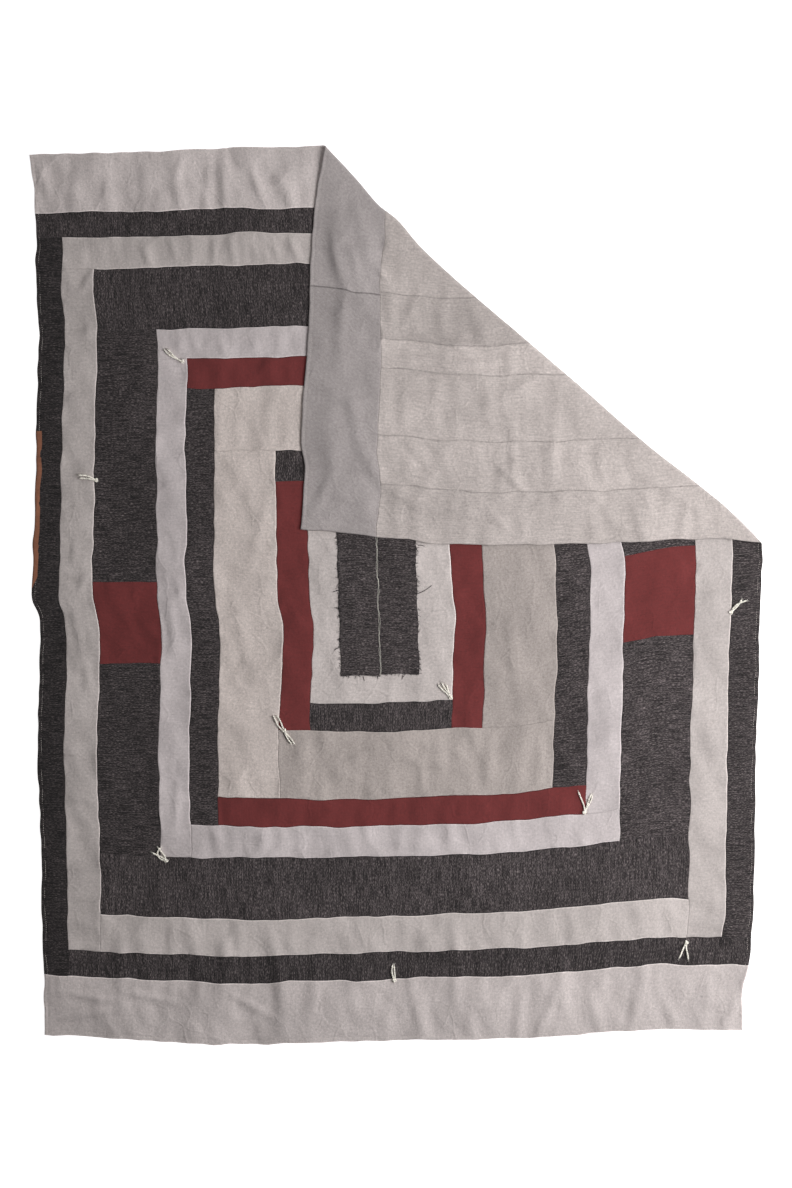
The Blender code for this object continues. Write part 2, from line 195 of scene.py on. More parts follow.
BODY_RIDGES = ridges(
    (-500, -815, 88, 210, 75, 4.5), (-345, -825, 94, 180, 70, 3.5), (-185, -830, 91, 220, 75, 5.0),
    (135, -820, 86, 200, 75, 4.0), (300, -815, 96, 190, 70, 5.0), (445, -800, 90, 170, 65, 4.0),
    (590, -800, 82, 110, 70, 5.5), (-655, -560, 4, 150, 75, 3.5), (-660, -360, -3, 170, 80, 4.0),
    (-665, -170, 2, 150, 75, 3.5), (-675, 5, -6, 130, 70, 6.0), (-665, 330, 3, 150, 75, 4.0),
    (-660, 500, -4, 140, 70, 5.0), (-670, 690, 5, 170, 80, 3.5), (668, -130, 178, 140, 70, 4.0),
    (660, -300, 184, 150, 75, 3.5), (655, -480, 176, 160, 75, 4.5), (-560, 815, 92, 130, 70, 3.5),
    (-400, 820, 86, 150, 70, 4.5), (-250, 820, 100, 150, 65, 5.0),
)
FLAP_RIDGES = ridges(
    (-75, 650, 97, 170, 60, 4.0), (10, 560, 80, 120, 55, 3.0), (-105, 250, 122, 190, 65, 4.5),
    (50, 190, 155, 180, 60, 4.0), (160, 400, 140, 130, 60, 3.0), (330, 150, 95, 130, 65, 3.0),
    (480, 150, 60, 110, 60, 3.5), (240, 520, 48, 110, 60, 3.0),
)

# Narrow folds of the body, finer than the solids' own; below 0, they are troughs.
BODY_RIPPLES = ridges(
    (-413, -55, 97, 70, 13, 3.6), (-425, -100, 84, 50, 11, -2.6), (-401, 10, 104, 35, 10, 2.6),
    (-580, 18, 66, 36, 11, 3.6), (-586, -72, 102, 60, 11, 3.1), (-570, -150, 97, 50, 11, 2.6),
    (-596, 75, 84, 40, 11, 2.6), (-558, -773, 10, 90, 10, 5.1), (-566, -743, 171, 75, 10, 4.7),
    (-448, -745, 167, 80, 10, 4.7), (-261, -763, 151, 80, 10, 4.3), (-203, 745, 112, 50, 15, 5.4),
    (-400, 785, 75, 35, 12, 3.9), (-650, 763, 105, 45, 12, 3.4), (-302, 634, 100, 38, 12, 4.2),
    (-459, 625, 115, 34, 12, 3.9), (-181, 629, 121, 40, 14, 5.5), (-570, 577, 60, 40, 10, 2.9),
    (-248, -459, 80, 50, 16, 3.9), (-331, -455, 100, 50, 16, 3.1), (-405, -389, 88, 60, 10, 3.5),
    (-507, -700, 92, 110, 17, 3.2), (-413, -705, 88, 100, 16, 2.7), (-366, -690, 95, 90, 14, 2.7),
    (-318, -700, 84, 100, 16, 3.2), (-267, -695, 91, 90, 14, 2.7), (-215, -720, 97, 120, 17, 3.1),
    (-149, -700, 86, 90, 17, 3.2), (-82, -715, 93, 110, 18, 2.7), (-20, -800, 82, 70, 16, 2.7),
    (40, -760, 100, 110, 18, 2.7), (110, -700, 88, 110, 16, 3.1), (158, -705, 94, 100, 15, 2.7),
    (226, -790, 86, 80, 16, 3.6), (278, -775, 70, 80, 14, 3.2), (306, -705, 98, 110, 16, 3.2),
    (368, -770, 104, 80, 15, 3.2), (383, -690, 85, 90, 16, 3.1), (438, -780, 77, 80, 15, 3.6),
    (457, -690, 92, 100, 16, 2.7), (501, -765, 112, 80, 15, 3.2), (575, -750, 83, 90, 17, 3.6),
    (618, -770, 66, 70, 14, 3.2), (-630, -660, 12, 90, 17, 3.1), (-625, -600, -8, 110, 18, 2.7),
    (-600, -500, 5, 120, 18, 3.1), (-610, -440, -12, 90, 16, 2.7), (-590, -370, 6, 120, 19, 3.2),
    (-605, -290, -4, 100, 17, 2.7), (-610, -235, 9, 90, 16, 3.1), (-595, -130, -7, 120, 19, 2.7),
    (-610, -60, 16, 90, 16, 3.2), (-615, 45, -18, 100, 17, 3.6), (-600, 120, 4, 110, 18, 2.7),
    (-610, 200, -10, 90, 16, 3.1), (-600, 280, 7, 120, 18, 2.7), (-610, 410, -6, 100, 17, 3.2),
    (-620, 470, 12, 90, 16, 2.7), (-600, 560, -9, 110, 18, 3.1), (-615, 630, 6, 90, 16, 2.7),
    (-630, 750, -14, 80, 15, 3.1), (-594, 730, 84, 100, 16, 3.1), (-529, 720, 97, 110, 16, 2.7),
    (-464, 715, 88, 100, 16, 3.1), (-400, 730, 102, 110, 17, 2.7), (-348, 745, 86, 110, 14, 3.6),
    (-317, 750, 93, 100, 13, 3.2), (-255, 752, 112, 60, 12, 3.9), (-229, 750, 111, 45, 10, -2.6),
    (-302, 798, 115, 35, 10, -2.4), (-412, 638, 105, 36, 10, 3.4), (-376, 635, 92, 36, 10, 3.2),
    (-336, 636, 90, 36, 9, 3.2), (-261, 634, 100, 36, 10, 3.6), (-221, 632, 108, 36, 10, 3.4),
    (-372, 462, 112, 36, 11, 2.6), (-322, 462, 105, 34, 11, 2.2), (-262, 462, 104, 36, 12, 2.6),
    (-190, 730, 96, 90, 15, 3.1), (610, -60, 172, 100, 17, 3.1), (600, 0, 186, 90, 16, 2.7),
    (610, -200, 190, 110, 18, 3.1), (600, -255, 174, 90, 16, 2.7), (605, -370, 182, 110, 18, 3.2),
    (590, -430, 168, 90, 16, 2.7), (600, -540, 187, 110, 18, 3.1), (590, -610, 176, 90, 17, 3.2),
    (-480, 380, 54, 85, 12, 2.6), (-510, 330, 48, 80, 12, 2.6), (-460, 250, 62, 90, 13, 2.3),
    (-250, 120, 76, 120, 16, 2.3), (-280, -80, 100, 140, 18, 2.3), (-430, -140, 84, 160, 20, 2.6),
    (-150, -330, 14, 130, 18, 2.3), (60, -310, 168, 140, 19, 2.3), (220, -140, 96, 130, 18, 2.3),
    (330, -60, 84, 110, 17, 2.3), (450, -240, 92, 150, 19, 2.6), (240, -470, 8, 120, 17, 2.6),
    (20, -460, 174, 130, 18, 2.3), (-220, -440, 4, 120, 17, 2.3),
)

# Creases of the folded corner, as soft ridges and, below 0, troughs.
FLAP_RIPPLES = ridges(
    (126, 416, 178, 160, 14, 4.2), (80, 366, 2, 110, 12, 3.6), (396, 128, 172, 140, 12, 3.1),
    (505, 195, 143, 120, 20, 3.5), (100, 474, 176, 130, 10, 4.3), (110, 437, 178, 140, 10, 4.3),
    (-104, 660, 97, 140, 26, 3.9), (-43, 645, 101, 100, 24, 4.3), (-11, 593, 131, 34, 9, 4.3),
    (-11, 459, 130, 18, 9, -2.0), (5, 449, 157, 24, 9, -2.0), (61, 454, 123, 33, 10, -2.2),
    (133, 457, 148, 28, 10, 4.2), (96, 336, 100, 32, 9, 1.5), (26, 257, 128, 40, 10, -2.6),
    (47, 232, 135, 24, 10, -2.6), (57, 269, 144, 26, 9, -2.2), (95, 206, 117, 26, 9, -2.2),
    (220, 207, 138, 50, 11, 5.1), (226, 248, 140, 30, 10, 2.6), (182, 142, 136, 48, 11, 4.3),
    (-107, 629, 99, 70, 12, 3.5), (-71, 620, 102, 50, 12, 3.1), (-127, 380, 151, 75, 20, 4.7),
    (-75, 316, 102, 80, 20, 4.7), (-45, 237, 120, 60, 20, 4.3), (8, 186, 148, 72, 20, 4.3),
    (117, 153, 172, 110, 20, 4.7), (219, 270, 90, 90, 12, 2.7), (296, 267, 90, 85, 12, 2.7),
    (-100, 500, 84, 110, 17, 3.1), (40, 540, 62, 90, 15, 2.7), (160, 330, 158, 110, 16, 2.7),
    (380, 170, 118, 80, 15, 3.1), (450, 130, 102, 60, 14, 3.1), (530, 130, 84, 50, 14, 3.1),
    (250, 400, 34, 80, 14, 2.7), (-140, 180, 66, 70, 14, 3.1), (259, 326, 178, 85, 10, 1.8),
    (282, 232, 178, 55, 10, 1.8),
)

# Crumple of the washed cloth: sine waves summed, the shortest of them weakest,
# then scaled by a level to about 1. The base keeps the crumple above the cloth.
CRUMPLE_WAVES = 18
CRUMPLE_SHORTEST = 36 * MM
CRUMPLE_LONGEST = 150 * MM
SHORTEST_SHARE = 0.4
WAVE_LEVEL = 0.52
CRUMPLE_RISE = 1.25 * MM
CRUMPLE_BASE = 1.3
CREASE_RISE = 1.6 * MM
CREASE_RATE = 0.62
CREASE_SHARPNESS = 1.9
CRUMPLE_SEED = 11
FLAP_SEED = 16
FLAP_CRUMPLE = 0.85

# Rounds of the pieced top, from the outside in, with the widths of its strips.
# Every top strip spans its round. under tells beside which ends of the bottom
# strip the side strips stop on it; at the others they run past it.
SIDES = ("left", "right", "bottom", "top")
Round = namedtuple("Round", "name left right bottom top side_cloth end_cloth under")
ROUNDS = (
    Round("border", 0.0, 0.0, 113 * MM, 111 * MM, "border_linen", "border_linen", ()),
    Round("first", 48 * MM, 54 * MM, 48 * MM, 46 * MM, "chambray", "chambray", ("right",)),
    Round("second", 61 * MM, 68 * MM, 68 * MM, 59 * MM, "pale_linen", "pale_linen", ()),
    Round("third", 114 * MM, 129 * MM, 113 * MM, 114 * MM, "chambray", "chambray", SIDES[:2]),
    Round("fourth", 55 * MM, 63 * MM, 59 * MM, 55 * MM, "cool_linen", "cool_linen", ("right",)),
    Round("fifth", 52 * MM, 61 * MM, 52 * MM, 54 * MM, "chambray", "brick", ("right",)),
    Round("sixth", 114 * MM, 133 * MM, 126 * MM, 118 * MM, "oat_linen", "oat_linen", ("right",)),
    Round("seventh", 57 * MM, 57 * MM, 54 * MM, 55 * MM, "brick", "chambray", ()),
)
# The wide dark round has a red block in the middle of each side strip.
BLOCK_ROUND = "third"
BLOCK_LENGTH = 150 * MM

# Each strip has a brightness factor: partly the cloth's own tone, which differs a
# little from strip to strip, and partly painted light and shade, which make strips
# lighter or darker for the light that fell on them.
TINTS_AND_PAINTED_LIGHT = {
    "border_top": 1.25, "border_bottom": 1.12, "first_top": 0.81, "first_left": 0.43,
    "first_bottom": 0.71, "first_right": 0.77, "second_top": 0.99, "second_left": 0.93,
    "second_bottom": 1.02, "second_right": 0.95, "third_top": 0.76, "third_left": 0.68,
    "third_bottom": 0.89, "third_right": 0.94, "fourth_top": 1.06, "fourth_left": 1.03,
    "fourth_bottom": 1.06, "fourth_right": 1.03, "fifth_left": 0.74, "fifth_right": 0.83,
    "sixth_top": 1.14, "sixth_left": 1.11, "sixth_bottom": 0.81, "sixth_right": 0.75,
    "seventh_top": 0.76, "seventh_bottom": 0.80, "centre_panel": 1.07, "patch": 0.86,
}
# Panels of the back: the distance in millimetres from the right side to a panel's
# left seam, and its brightness factor, partly the cloth's own tone and partly painted
# light and shade. The band lies along the top edge and has one seam across it, at a
# distance from the right side.
BACK_PANELS = (
    (101, 0.91), (197, 0.94), (328, 0.94), (387, 1.00), (481, 0.85), (640, 0.92),
    (800, 0.96), (950, 0.94), (1130, 0.97), (1327, 0.96),
)
BAND_WIDTH = 131 * MM
BAND_SEAM = 476 * MM
# Brightness factor of the band's right part: its own tone and painted light and shade.
BAND_RIGHT_TINT_AND_LIGHT = 0.94

# How an outer face stands at a distance in from the edge, about its own level.
Profile = namedtuple("Profile", "distance level")
PROUD_LIP = Profile((0.0, 1.5 * MM, 3.5 * MM, 6 * MM), (-0.25 * MM, 0.08 * MM, 0.15 * MM, 0.0))
SUNK_LIP = Profile((0.0, 1.5 * MM, 3.5 * MM, 6 * MM), (-0.50 * MM, -0.35 * MM, -0.12 * MM, 0.0))
FLAT_LIP = Profile((0.0, 1.5 * MM, 3.5 * MM, 6 * MM), (-0.07 * MM, 0.02 * MM, 0.05 * MM, 0.0))
HEM_LIP = Profile(
    (0.0, 0.6 * MM, 1.5 * MM, 3.0 * MM, 5.0 * MM, 6.5 * MM, 8.5 * MM),
    (-0.80 * MM, -0.30 * MM, 0.0, 0.20 * MM, 0.05 * MM, -0.35 * MM, 0.0),
)
SUNK_CLOTHS = ("chambray", "brick")
FLAT_CLOTHS = ("back_linen",)

# Puckers between the seams: their rise, deepest dip and waves, how far one leans
# over a strip's width in radians, and the share of them that a seam keeps.
PUCKER_RISE = 0.95 * MM
PUCKER_DIP = 0.5 * MM
PUCKER_WAVES = (31 * MM, 44 * MM, 58 * MM, 83 * MM)
PUCKER_LEAN = 1.8
PUCKER_FADE = 16 * MM
PUCKER_AT_SEAM = 0.1
HIDDEN_PUCKER = 0.10
CALM_PUCKER = {"border_top": 0.5, "border_bottom": 0.5, "centre_panel": 0.2}
LIP_DEEPEST = 0.85 * MM
HEM_TAPER = 2 * MM
SEWING_SEED = 21
BACK_SEED = 100

# The patch on the middle of the top, its two strips and their seam.
PATCH_LEFT = -0.105
PATCH_RIGHT = 0.040
PATCH_BOTTOM = -0.151
PATCH_TOP = 0.149
PATCH_SEAM = -0.032
PATCH_CELL = 3.5 * MM
# Its raw edges waver, and are ragged by short waves of a rise and a length.
PATCH_WOBBLE = 0.9 * MM
PATCH_WOBBLE_PITCH = 70 * MM
PATCH_RAGS = ((0.4 * MM, 1.9 * MM), (0.3 * MM, 3.1 * MM))
PATCH_STEP = 3 * MM
# The patch lies askew: its upright lines lean left by this share, about a height.
PATCH_LEAN = 0.03
PATCH_LEAN_FROM = -0.033
PATCH_PUCKER = 0.4
PATCH_LIP = (0.0, 1.0 * MM)
PATCH_EDGE_DROP = 0.35 * MM
PATCH_EDGE_REACH = 1.5 * MM
PATCH_SEED = 60
# The two pale threads that show in its seam.
SEAM_THREADS = (-0.7 * MM, 0.8 * MM)
SEAM_THREAD_POINTS = 60
SEAM_THREAD_RADIUS = 0.28 * MM
SEAM_THREAD_LIFT = 0.2 * MM
SEAM_SWAY = 0.6 * MM
SEAM_SWAY_LENGTH = 8.3 * MM
SEAM_SWAY_SHIFT = 900
SEAM_SCATTER = 0.25 * MM
# Loose threads at its raw edges; lengths in millimetres, scatter in degrees.
FRAY_SEED = 77
FRAY_POINTS = 6
FRAY_ORDER = (0, 1, 0, 1, 2, 3)
FRAY_SCATTER = 32
FRAY_CURL = 0.5
FRAY_ROOT = 2 * MM
FRAY_LENGTHS = (3.5, 9)
FRAY_START = 0.6 * PATCH_THICKNESS
FRAY_END = 0.3 * MM
FRAY_PALE_SHARE = 0.3
FRAY_RADII = (0.48 * MM, 0.26 * MM)
LONG_THREAD_END = 0.4 * MM
LONG_THREAD_GAIN = 1.7

# Longer threads that hang from the patch. heading and bend are in degrees.
LongThread = namedtuple("LongThread", "x y heading bend length pale")
LONG_THREADS = (
    LongThread(-0.104, 0.006, 168, 40, 13 * MM, False),
    LongThread(-0.103, -0.026, 192, -30, 11 * MM, False),
    LongThread(-0.103, -0.099, 174, 50, 12 * MM, False),
    LongThread(0.038, -0.134, -14, -40, 12 * MM, False),
    LongThread(0.037, 0.000, 12, 28, 33 * MM, False),
    LongThread(0.041, 0.090, 8, -30, 12 * MM, False),
    LongThread(-0.060, -0.152, -96, 40, 9 * MM, True),
    LongThread(0.012, -0.150, -80, -30, 8 * MM, True),
)

# Ties: each knot's place, and the free ends that leave it. A tail wavers by an
# angle in radians, arches up a little, and the tails of a tie lie on each other.
# The knot is a trefoil whose plain curve reaches 3.7 from its middle.
KNOT_RADIUS = 3.6 * MM
KNOT_HALF_HEIGHT = 2.5 * MM
KNOT_LEVEL = KNOT_HALF_HEIGHT - 0.2 * MM
KNOT_SWING = 0.9 * MM
KNOT_REACH = 3.7
KNOT_TURN = 0.93 * 2 * math.pi
KNOT_TIGHTNESS = 0.9
PLY_SHARE = 0.27
TAIL_STACK = 0.35 * MM
TAIL_ARCH = 0.5 * MM
TAIL_WAVER = 0.10
TAIL_WAVER_RATE = 7
TAIL_POINTS = 44
TAIL_END_SHARE = 0.5
LARGEST_PHASE = 6
TIE_SEED = 300
Knot = namedtuple("Knot", "name x y tails")
Tail = namedtuple("Tail", "heading bend length")


def knots(*rows):
    """Knots, named in order, from rows of a place and its tails, in millimetres."""
    return [
        Knot(f"tie_{number:02}", x * MM, y * MM, [Tail(*angles, end * MM) for *angles, end in tails])
        for number, (x, y, *tails) in enumerate(rows, 1)
    ]


KNOTS = knots(
    (-394, 429, (166, -38, 42), (152, -24, 37)),
    (-553, 210, (150, 28, 36), (176, -8, 32)),
    (-424, -492, (190, -150, 35), (144, 12, 30), (112, 20, 29)),
    (-206, -252, (152, -52, 35), (110, 12, 31), (-48, -10, 31), (-70, 14, 27)),
    (101, -191, (144, -18, 33), (124, -4, 32), (106, 8, 26)),
    (348, -403, (96, 22, 39), (76, -12, 35), (56, 16, 33)),
    (618, -34, (64, -52, 37), (44, 10, 30)),
    (536, -643, (-118, 6, 32), (-92, 16, 31)),
    (-3, -713, (122, -50, 29), (84, 14, 26)),
)
# Fibres of a tail's frayed end: how they turn, and the shares of their length
# that they have. Their heights and radii are in millimetres.
FRAY_FIBRES = 5
FRAY_LENGTH = 6 * MM
FRAY_LENGTH_SHARES = (0.6, 1.1)
FRAY_SPREAD = 28
FRAY_TURN = (0.3, 1.6)
FRAY_HEIGHTS = (-0.5, 0.6)
FIBRE_RADII = (0.16, 0.07)

# One stitch: its points' heights and thicknesses, and how far it sinks in.
STITCH_DIPS = np.array((-0.30, 0.12, 0.12, -0.30)) * MM
STITCH_TAPER = np.array((0.5, 1.0, 1.0, 0.5))
STITCH_SINK = 0.45 * MM
HEM_SWAY = 0.35 * MM
HEM_SWAY_LENGTH = 37 * MM
HEM_SCATTER = 0.12 * MM
HEM_SEED = 41

# The strip of rust cloth that shows beside the left edge, and its stitches.
SELVEDGE_WIDTH = 10 * MM
SELVEDGE_START = 0.836
SELVEDGE_END = 1.128
SELVEDGE_TAPER = 26 * MM
SELVEDGE_TIP_SHARE = 0.12
SELVEDGE_WAVER = 0.5 * MM
SELVEDGE_WAVER_LENGTH = 11 * MM
SELVEDGE_INSET = 0.2 * MM
SELVEDGE_LIP = (0.0, 0.8 * MM)
SELVEDGE_LIFT = 0.25 * MM
SELVEDGE_CROWN = 0.55 * MM
SELVEDGE_CROWN_REACH = 1.2 * MM
SELVEDGE_SINK = 0.1 * MM
OLIVE_RUN = (SELVEDGE_START - 12 * MM, SELVEDGE_END + 4 * MM)
OLIVE_INSET = 0.9 * MM
OLIVE_PITCH = 2.6 * MM
OLIVE_LENGTH = 3.2 * MM
OLIVE_RADIUS = 0.55 * MM
OLIVE_HEADING = (0.35, 0.95)

# Camera and light, for a frame of 792 by 1188 pixels at 1.846 mm a pixel.
FRAME_HEIGHT = 1188 * 1.846 * MM
LENS = 85.0
SENSOR = 36.0
FLOOR_HALF = 80.0
FLOOR_DROP = 0.3 * MM
WHITE = (1.0, 1.0, 1.0, 1.0)
WHITE_PAPER = {
    "Base Color": (0.86, 0.86, 0.86, 1.0), "Roughness": 1.0, "Specular IOR Level": 0.0,
    "Emission Color": WHITE, "Emission Strength": 0.80,
}
WORLD_STRENGTH = 0.12
Lamp = namedtuple("Lamp", "name place size power")
LAMPS = (
    Lamp("key_light", (1.80, -0.15, 1.85), 2.0, 82.0),
    Lamp("fill_light", (-0.6, 2.6, 1.8), 1.2, 10.0),
)


def smooth(share):
    """A soft step from 0 to 1."""
    share = np.clip(share, 0.0, 1.0)
    return share * share * (3 - 2 * share)


def edge_slope(rows, index):
    """Slope of an edge at one of its rows."""
    before = rows[max(index - 1, 0)]
    after = rows[min(index + 1, len(rows) - 1)]
    return (after.out - before.out) / (after.share - before.share)


def edge_out(rows, share):
    """How far an edge stands out at each share, on a smooth curve through its rows."""
    share = np.clip(share, 0.0, 1.0)
    starts = np.array([row.share for row in rows])
    outs = np.array([row.out for row in rows])
    slopes = np.array([edge_slope(rows, index) for index in range(len(rows))])
    index = np.clip(np.searchsorted(starts, share, side="right") - 1, 0, len(rows) - 2)
    span = starts[index + 1] - starts[index]
    t = (share - starts[index]) / span
    start_pull = (t**3 - 2 * t**2 + t) * span * slopes[index]
    end_pull = (t**3 - t**2) * span * slopes[index + 1]
    return outs[index] + (outs[index + 1] - outs[index]) * smooth(t) + start_pull + end_pull


def between(start, end, share):
    """Points at each share of the way from start to end."""
    return start + (end - start) * np.asarray(share)[:, None]


def edge_point(start, end, rows, share, outward):
    """Points at each share of one wavy edge; outward is 1 or -1, left of its run."""
    run = end - start
    side = np.array((-run[1], run[0])) / np.linalg.norm(run)
    return between(start, end, share) + side * (outward * edge_out(rows, share))[:, None]


# The washed cloth's edges and seams waver a little, at the crumple's waves
# divided by the rate.
HEM_WANDER = 0.8 * MM
HEM_WANDER_RATE = 1.3
HEM_WANDER_SEEDS = (51, 52)


def opened_out(sizes, across, along):
    """Where points of the cloth lie in plan with the corner opened out.

    across and along are their distances from the cloth's left and bottom edges.
    """
    across, along = across / sizes.cloth_width, along / sizes.cloth_length
    bottom = edge_point(BOTTOM_LEFT, BOTTOM_RIGHT, BOTTOM_EDGE, across, -1)
    top = edge_point(TOP_LEFT, TOP_RIGHT, TOP_EDGE, across, 1)
    left = edge_point(BOTTOM_LEFT, TOP_LEFT, LEFT_EDGE, along, 1)
    right = edge_point(BOTTOM_RIGHT, TOP_RIGHT, RIGHT_EDGE, along, -1)
    lower = between(BOTTOM_LEFT, BOTTOM_RIGHT, across)
    upper = between(TOP_LEFT, TOP_RIGHT, across)
    up, over = along[:, None], across[:, None]
    between_ends = bottom + (top - bottom) * up
    between_sides = left + (right - left) * over
    place = between_ends + between_sides - (lower + (upper - lower) * up)
    uneven = [wave_sum(place * HEM_WANDER_RATE, seed) for seed in HEM_WANDER_SEEDS]
    return place + HEM_WANDER * np.column_stack(uneven)


# The strips have drifted from even spacing about one place: how far the drift
# reaches either way, and how far it moves the seams up. Seams wander besides.
DRIFT_MIDDLE = (0.16, -0.10)
DRIFT_REACH = (0.50, 0.62)
DRIFT_RISE = -25 * MM
SEAM_WANDER = 0.9 * MM
SEAM_WANDER_RATE = 0.5
FINE_WANDER_SHARE = 0.25
FINE_WANDER_RATE = 1.7
SEAM_WANDER_FADE = 40 * MM


def sewn(sizes, across, along, seed):
    """Opened-out places of cloth points, with the unevenness of real seams."""
    place = opened_out(sizes, across, along)
    away = np.clip(np.abs(place - DRIFT_MIDDLE) / DRIFT_REACH, 0.0, 1.0)
    moved = place.copy()
    moved[:, 1] += DRIFT_RISE * np.prod((1 - away**2) ** 2, axis=1)
    inside = np.minimum(across, sizes.cloth_width - across)
    inside = np.minimum(inside, np.minimum(along, sizes.cloth_length - along))
    for axis in (0, 1):
        wander = wave_sum(place * SEAM_WANDER_RATE, seed + axis)
        fine = wave_sum(place * FINE_WANDER_RATE, seed + 2 + axis)
        wander = wander + FINE_WANDER_SHARE * fine
        moved[:, axis] += SEAM_WANDER * wander * smooth(inside / SEAM_WANDER_FADE)
    return moved


def ridge_height(rows, place):
    """Height of soft folds at places in plan."""
    height = np.zeros(len(place))
    for ridge in rows:
        heading = math.radians(ridge.heading)
        x, y = place[:, 0] - ridge.x, place[:, 1] - ridge.y
        along = (x * math.cos(heading) + y * math.sin(heading)) / ridge.reach
        across = (y * math.cos(heading) - x * math.sin(heading)) / ridge.spread
        near = (np.abs(along) < 1) & (np.abs(across) < 1)
        height[near] += ridge.rise * (1 - along[near] ** 2) ** 2 * (1 - across[near] ** 2) ** 2
    return height


def wave_sum(place, seed):
    """A smooth uneven field of about -1 to 1 at places in plan."""
    rng = np.random.default_rng(seed)
    total = np.zeros(len(place))
    for share in np.linspace(0.0, 1.0, CRUMPLE_WAVES):
        wavelength = CRUMPLE_SHORTEST * (CRUMPLE_LONGEST / CRUMPLE_SHORTEST) ** share
        heading, phase = rng.uniform(0, math.pi), rng.uniform(0, 2 * math.pi)
        run = place[:, 0] * math.cos(heading) + place[:, 1] * math.sin(heading)
        strength = SHORTEST_SHARE + (1 - SHORTEST_SHARE) * share
        total += strength * np.sin(2 * math.pi * run / wavelength + phase)
    return total / math.sqrt(CRUMPLE_WAVES) / WAVE_LEVEL


def crumple(place, seed):
    """Soft crumple with a net of low creases, never below 0."""
    soft = wave_sum(place, seed)
    net = 1 - np.abs(wave_sum(place * CREASE_RATE, seed + 1)) * CREASE_SHARPNESS
    return CRUMPLE_RISE * (CRUMPLE_BASE + soft).clip(0.0) + CREASE_RISE * net.clip(0.0) ** 2


def side_distance(place, start, end):
    """Distance of places to the right of the line from start to end."""
    run = (end - start) / np.linalg.norm(end - start)
    return (place[:, 0] - start[0]) * run[1] - (place[:, 1] - start[1]) * run[0]


def clear_of_flap(place):
    """1 well outside the flap, falling to 0 at its edges and under it."""
    left_of_flap = side_distance(place, FLAP_CORNER, FOLD_TOP)
    below_flap = side_distance(place, FLAP_CORNER, FOLD_SIDE)
    return smooth(np.maximum(-left_of_flap, below_flap) / RIPPLE_FADE)


def pulled(place):
    """Places in plan moved with the fold's edge, which isn't quite straight."""
    offset = place - FOLD_TOP
    share = offset @ FOLD_ALONG / FOLD_LENGTH
    reach = offset @ FOLD_ACROSS / FOLD_PULL_REACH
    near = (share > 0) & (share < 1) & (np.abs(reach) < 1)
    pull = np.where(near, edge_out(FOLD_EDGE, share) * (1 - reach**2) ** 2, 0.0)
    return place + FOLD_ACROSS * pull[:, None]


def laid(place, height):
    """Points in space of cloth points, from their opened-out places in plan.

    height is the distance above the middle surface, before the corner is folded.
    """
    past = (place - FOLD_TOP) @ FOLD_ACROSS + FOLD_RADIUS
    turn = np.clip(past / FOLD_RADIUS, 0.0, math.pi)
    beyond = np.clip(past - math.pi * FOLD_RADIUS, 0.0, None)
    arm = FOLD_RADIUS - height
    moved = np.where(past > 0, past - arm * np.sin(turn) + beyond, 0.0)
    seen = place - FOLD_ACROSS * moved[:, None]
    settled = 2 * (FOLD_RADIUS - TOP_SURFACE + MIDDLE_HEIGHT) - FLAP_CLEARANCE
    lift = FOLD_RADIUS - arm * np.cos(turn) - settled * smooth(beyond / SETTLE_REACH)
    # The flap's left edge lies closer to the body than the rest of it.
    edge = 1 - smooth(side_distance(seen, FLAP_CORNER, FOLD_TOP) / EDGE_REACH)
    lift = lift - EDGE_DROP * edge * smooth(beyond / SETTLE_REACH)
    body_rise = ridge_height(BODY_RIDGES + BODY_RIPPLES, seen) + crumple(seen, CRUMPLE_SEED)
    body_rise = body_rise.clip(0.0) * clear_of_flap(seen) * smooth(-past / RIPPLE_FADE)
    flap_rise = ridge_height(FLAP_RIDGES + FLAP_RIPPLES, seen)
    flap_rise = flap_rise + FLAP_CRUMPLE * crumple(seen, FLAP_SEED)
    flap_rise = flap_rise * smooth(beyond / RIPPLE_FADE) * (1 - (1 - EDGE_RISE_SHARE) * edge)
    rise = np.where(past > 0, lift + flap_rise, height + body_rise)
    return np.column_stack((pulled(seen), MIDDLE_HEIGHT + rise))


def on_cloth(sizes, across, along, height):
    """Points in space at distances from the cloth's left and bottom edges."""
    place = opened_out(sizes, across, along)
    return laid(place, np.broadcast_to(height, across.shape))


def add_node(tree, kind, settings=None, values=None, links=None):
    """Adds one node with its settings, socket values and incoming links."""
    node = tree.nodes.new(kind)
    for name, value in (settings or {}).items():
        setattr(node, name, value)
    for name, value in (values or {}).items():
        node.inputs[name].default_value = value
    for name, socket in (links or {}).items():
        tree.links.new(socket, node.inputs[name])
    return node


def new_material(name, gloss):
    """A material with an empty node tree and its shader, with the shader's values."""
    material = bpy.data.materials.new(name)
    material.use_nodes = True
    tree = material.node_tree
    tree.nodes.clear()
    shader = add_node(tree, "ShaderNodeBsdfPrincipled", values=gloss)
    add_node(tree, "ShaderNodeOutputMaterial", links={"Surface": shader.outputs["BSDF"]})
    return material, tree, shader
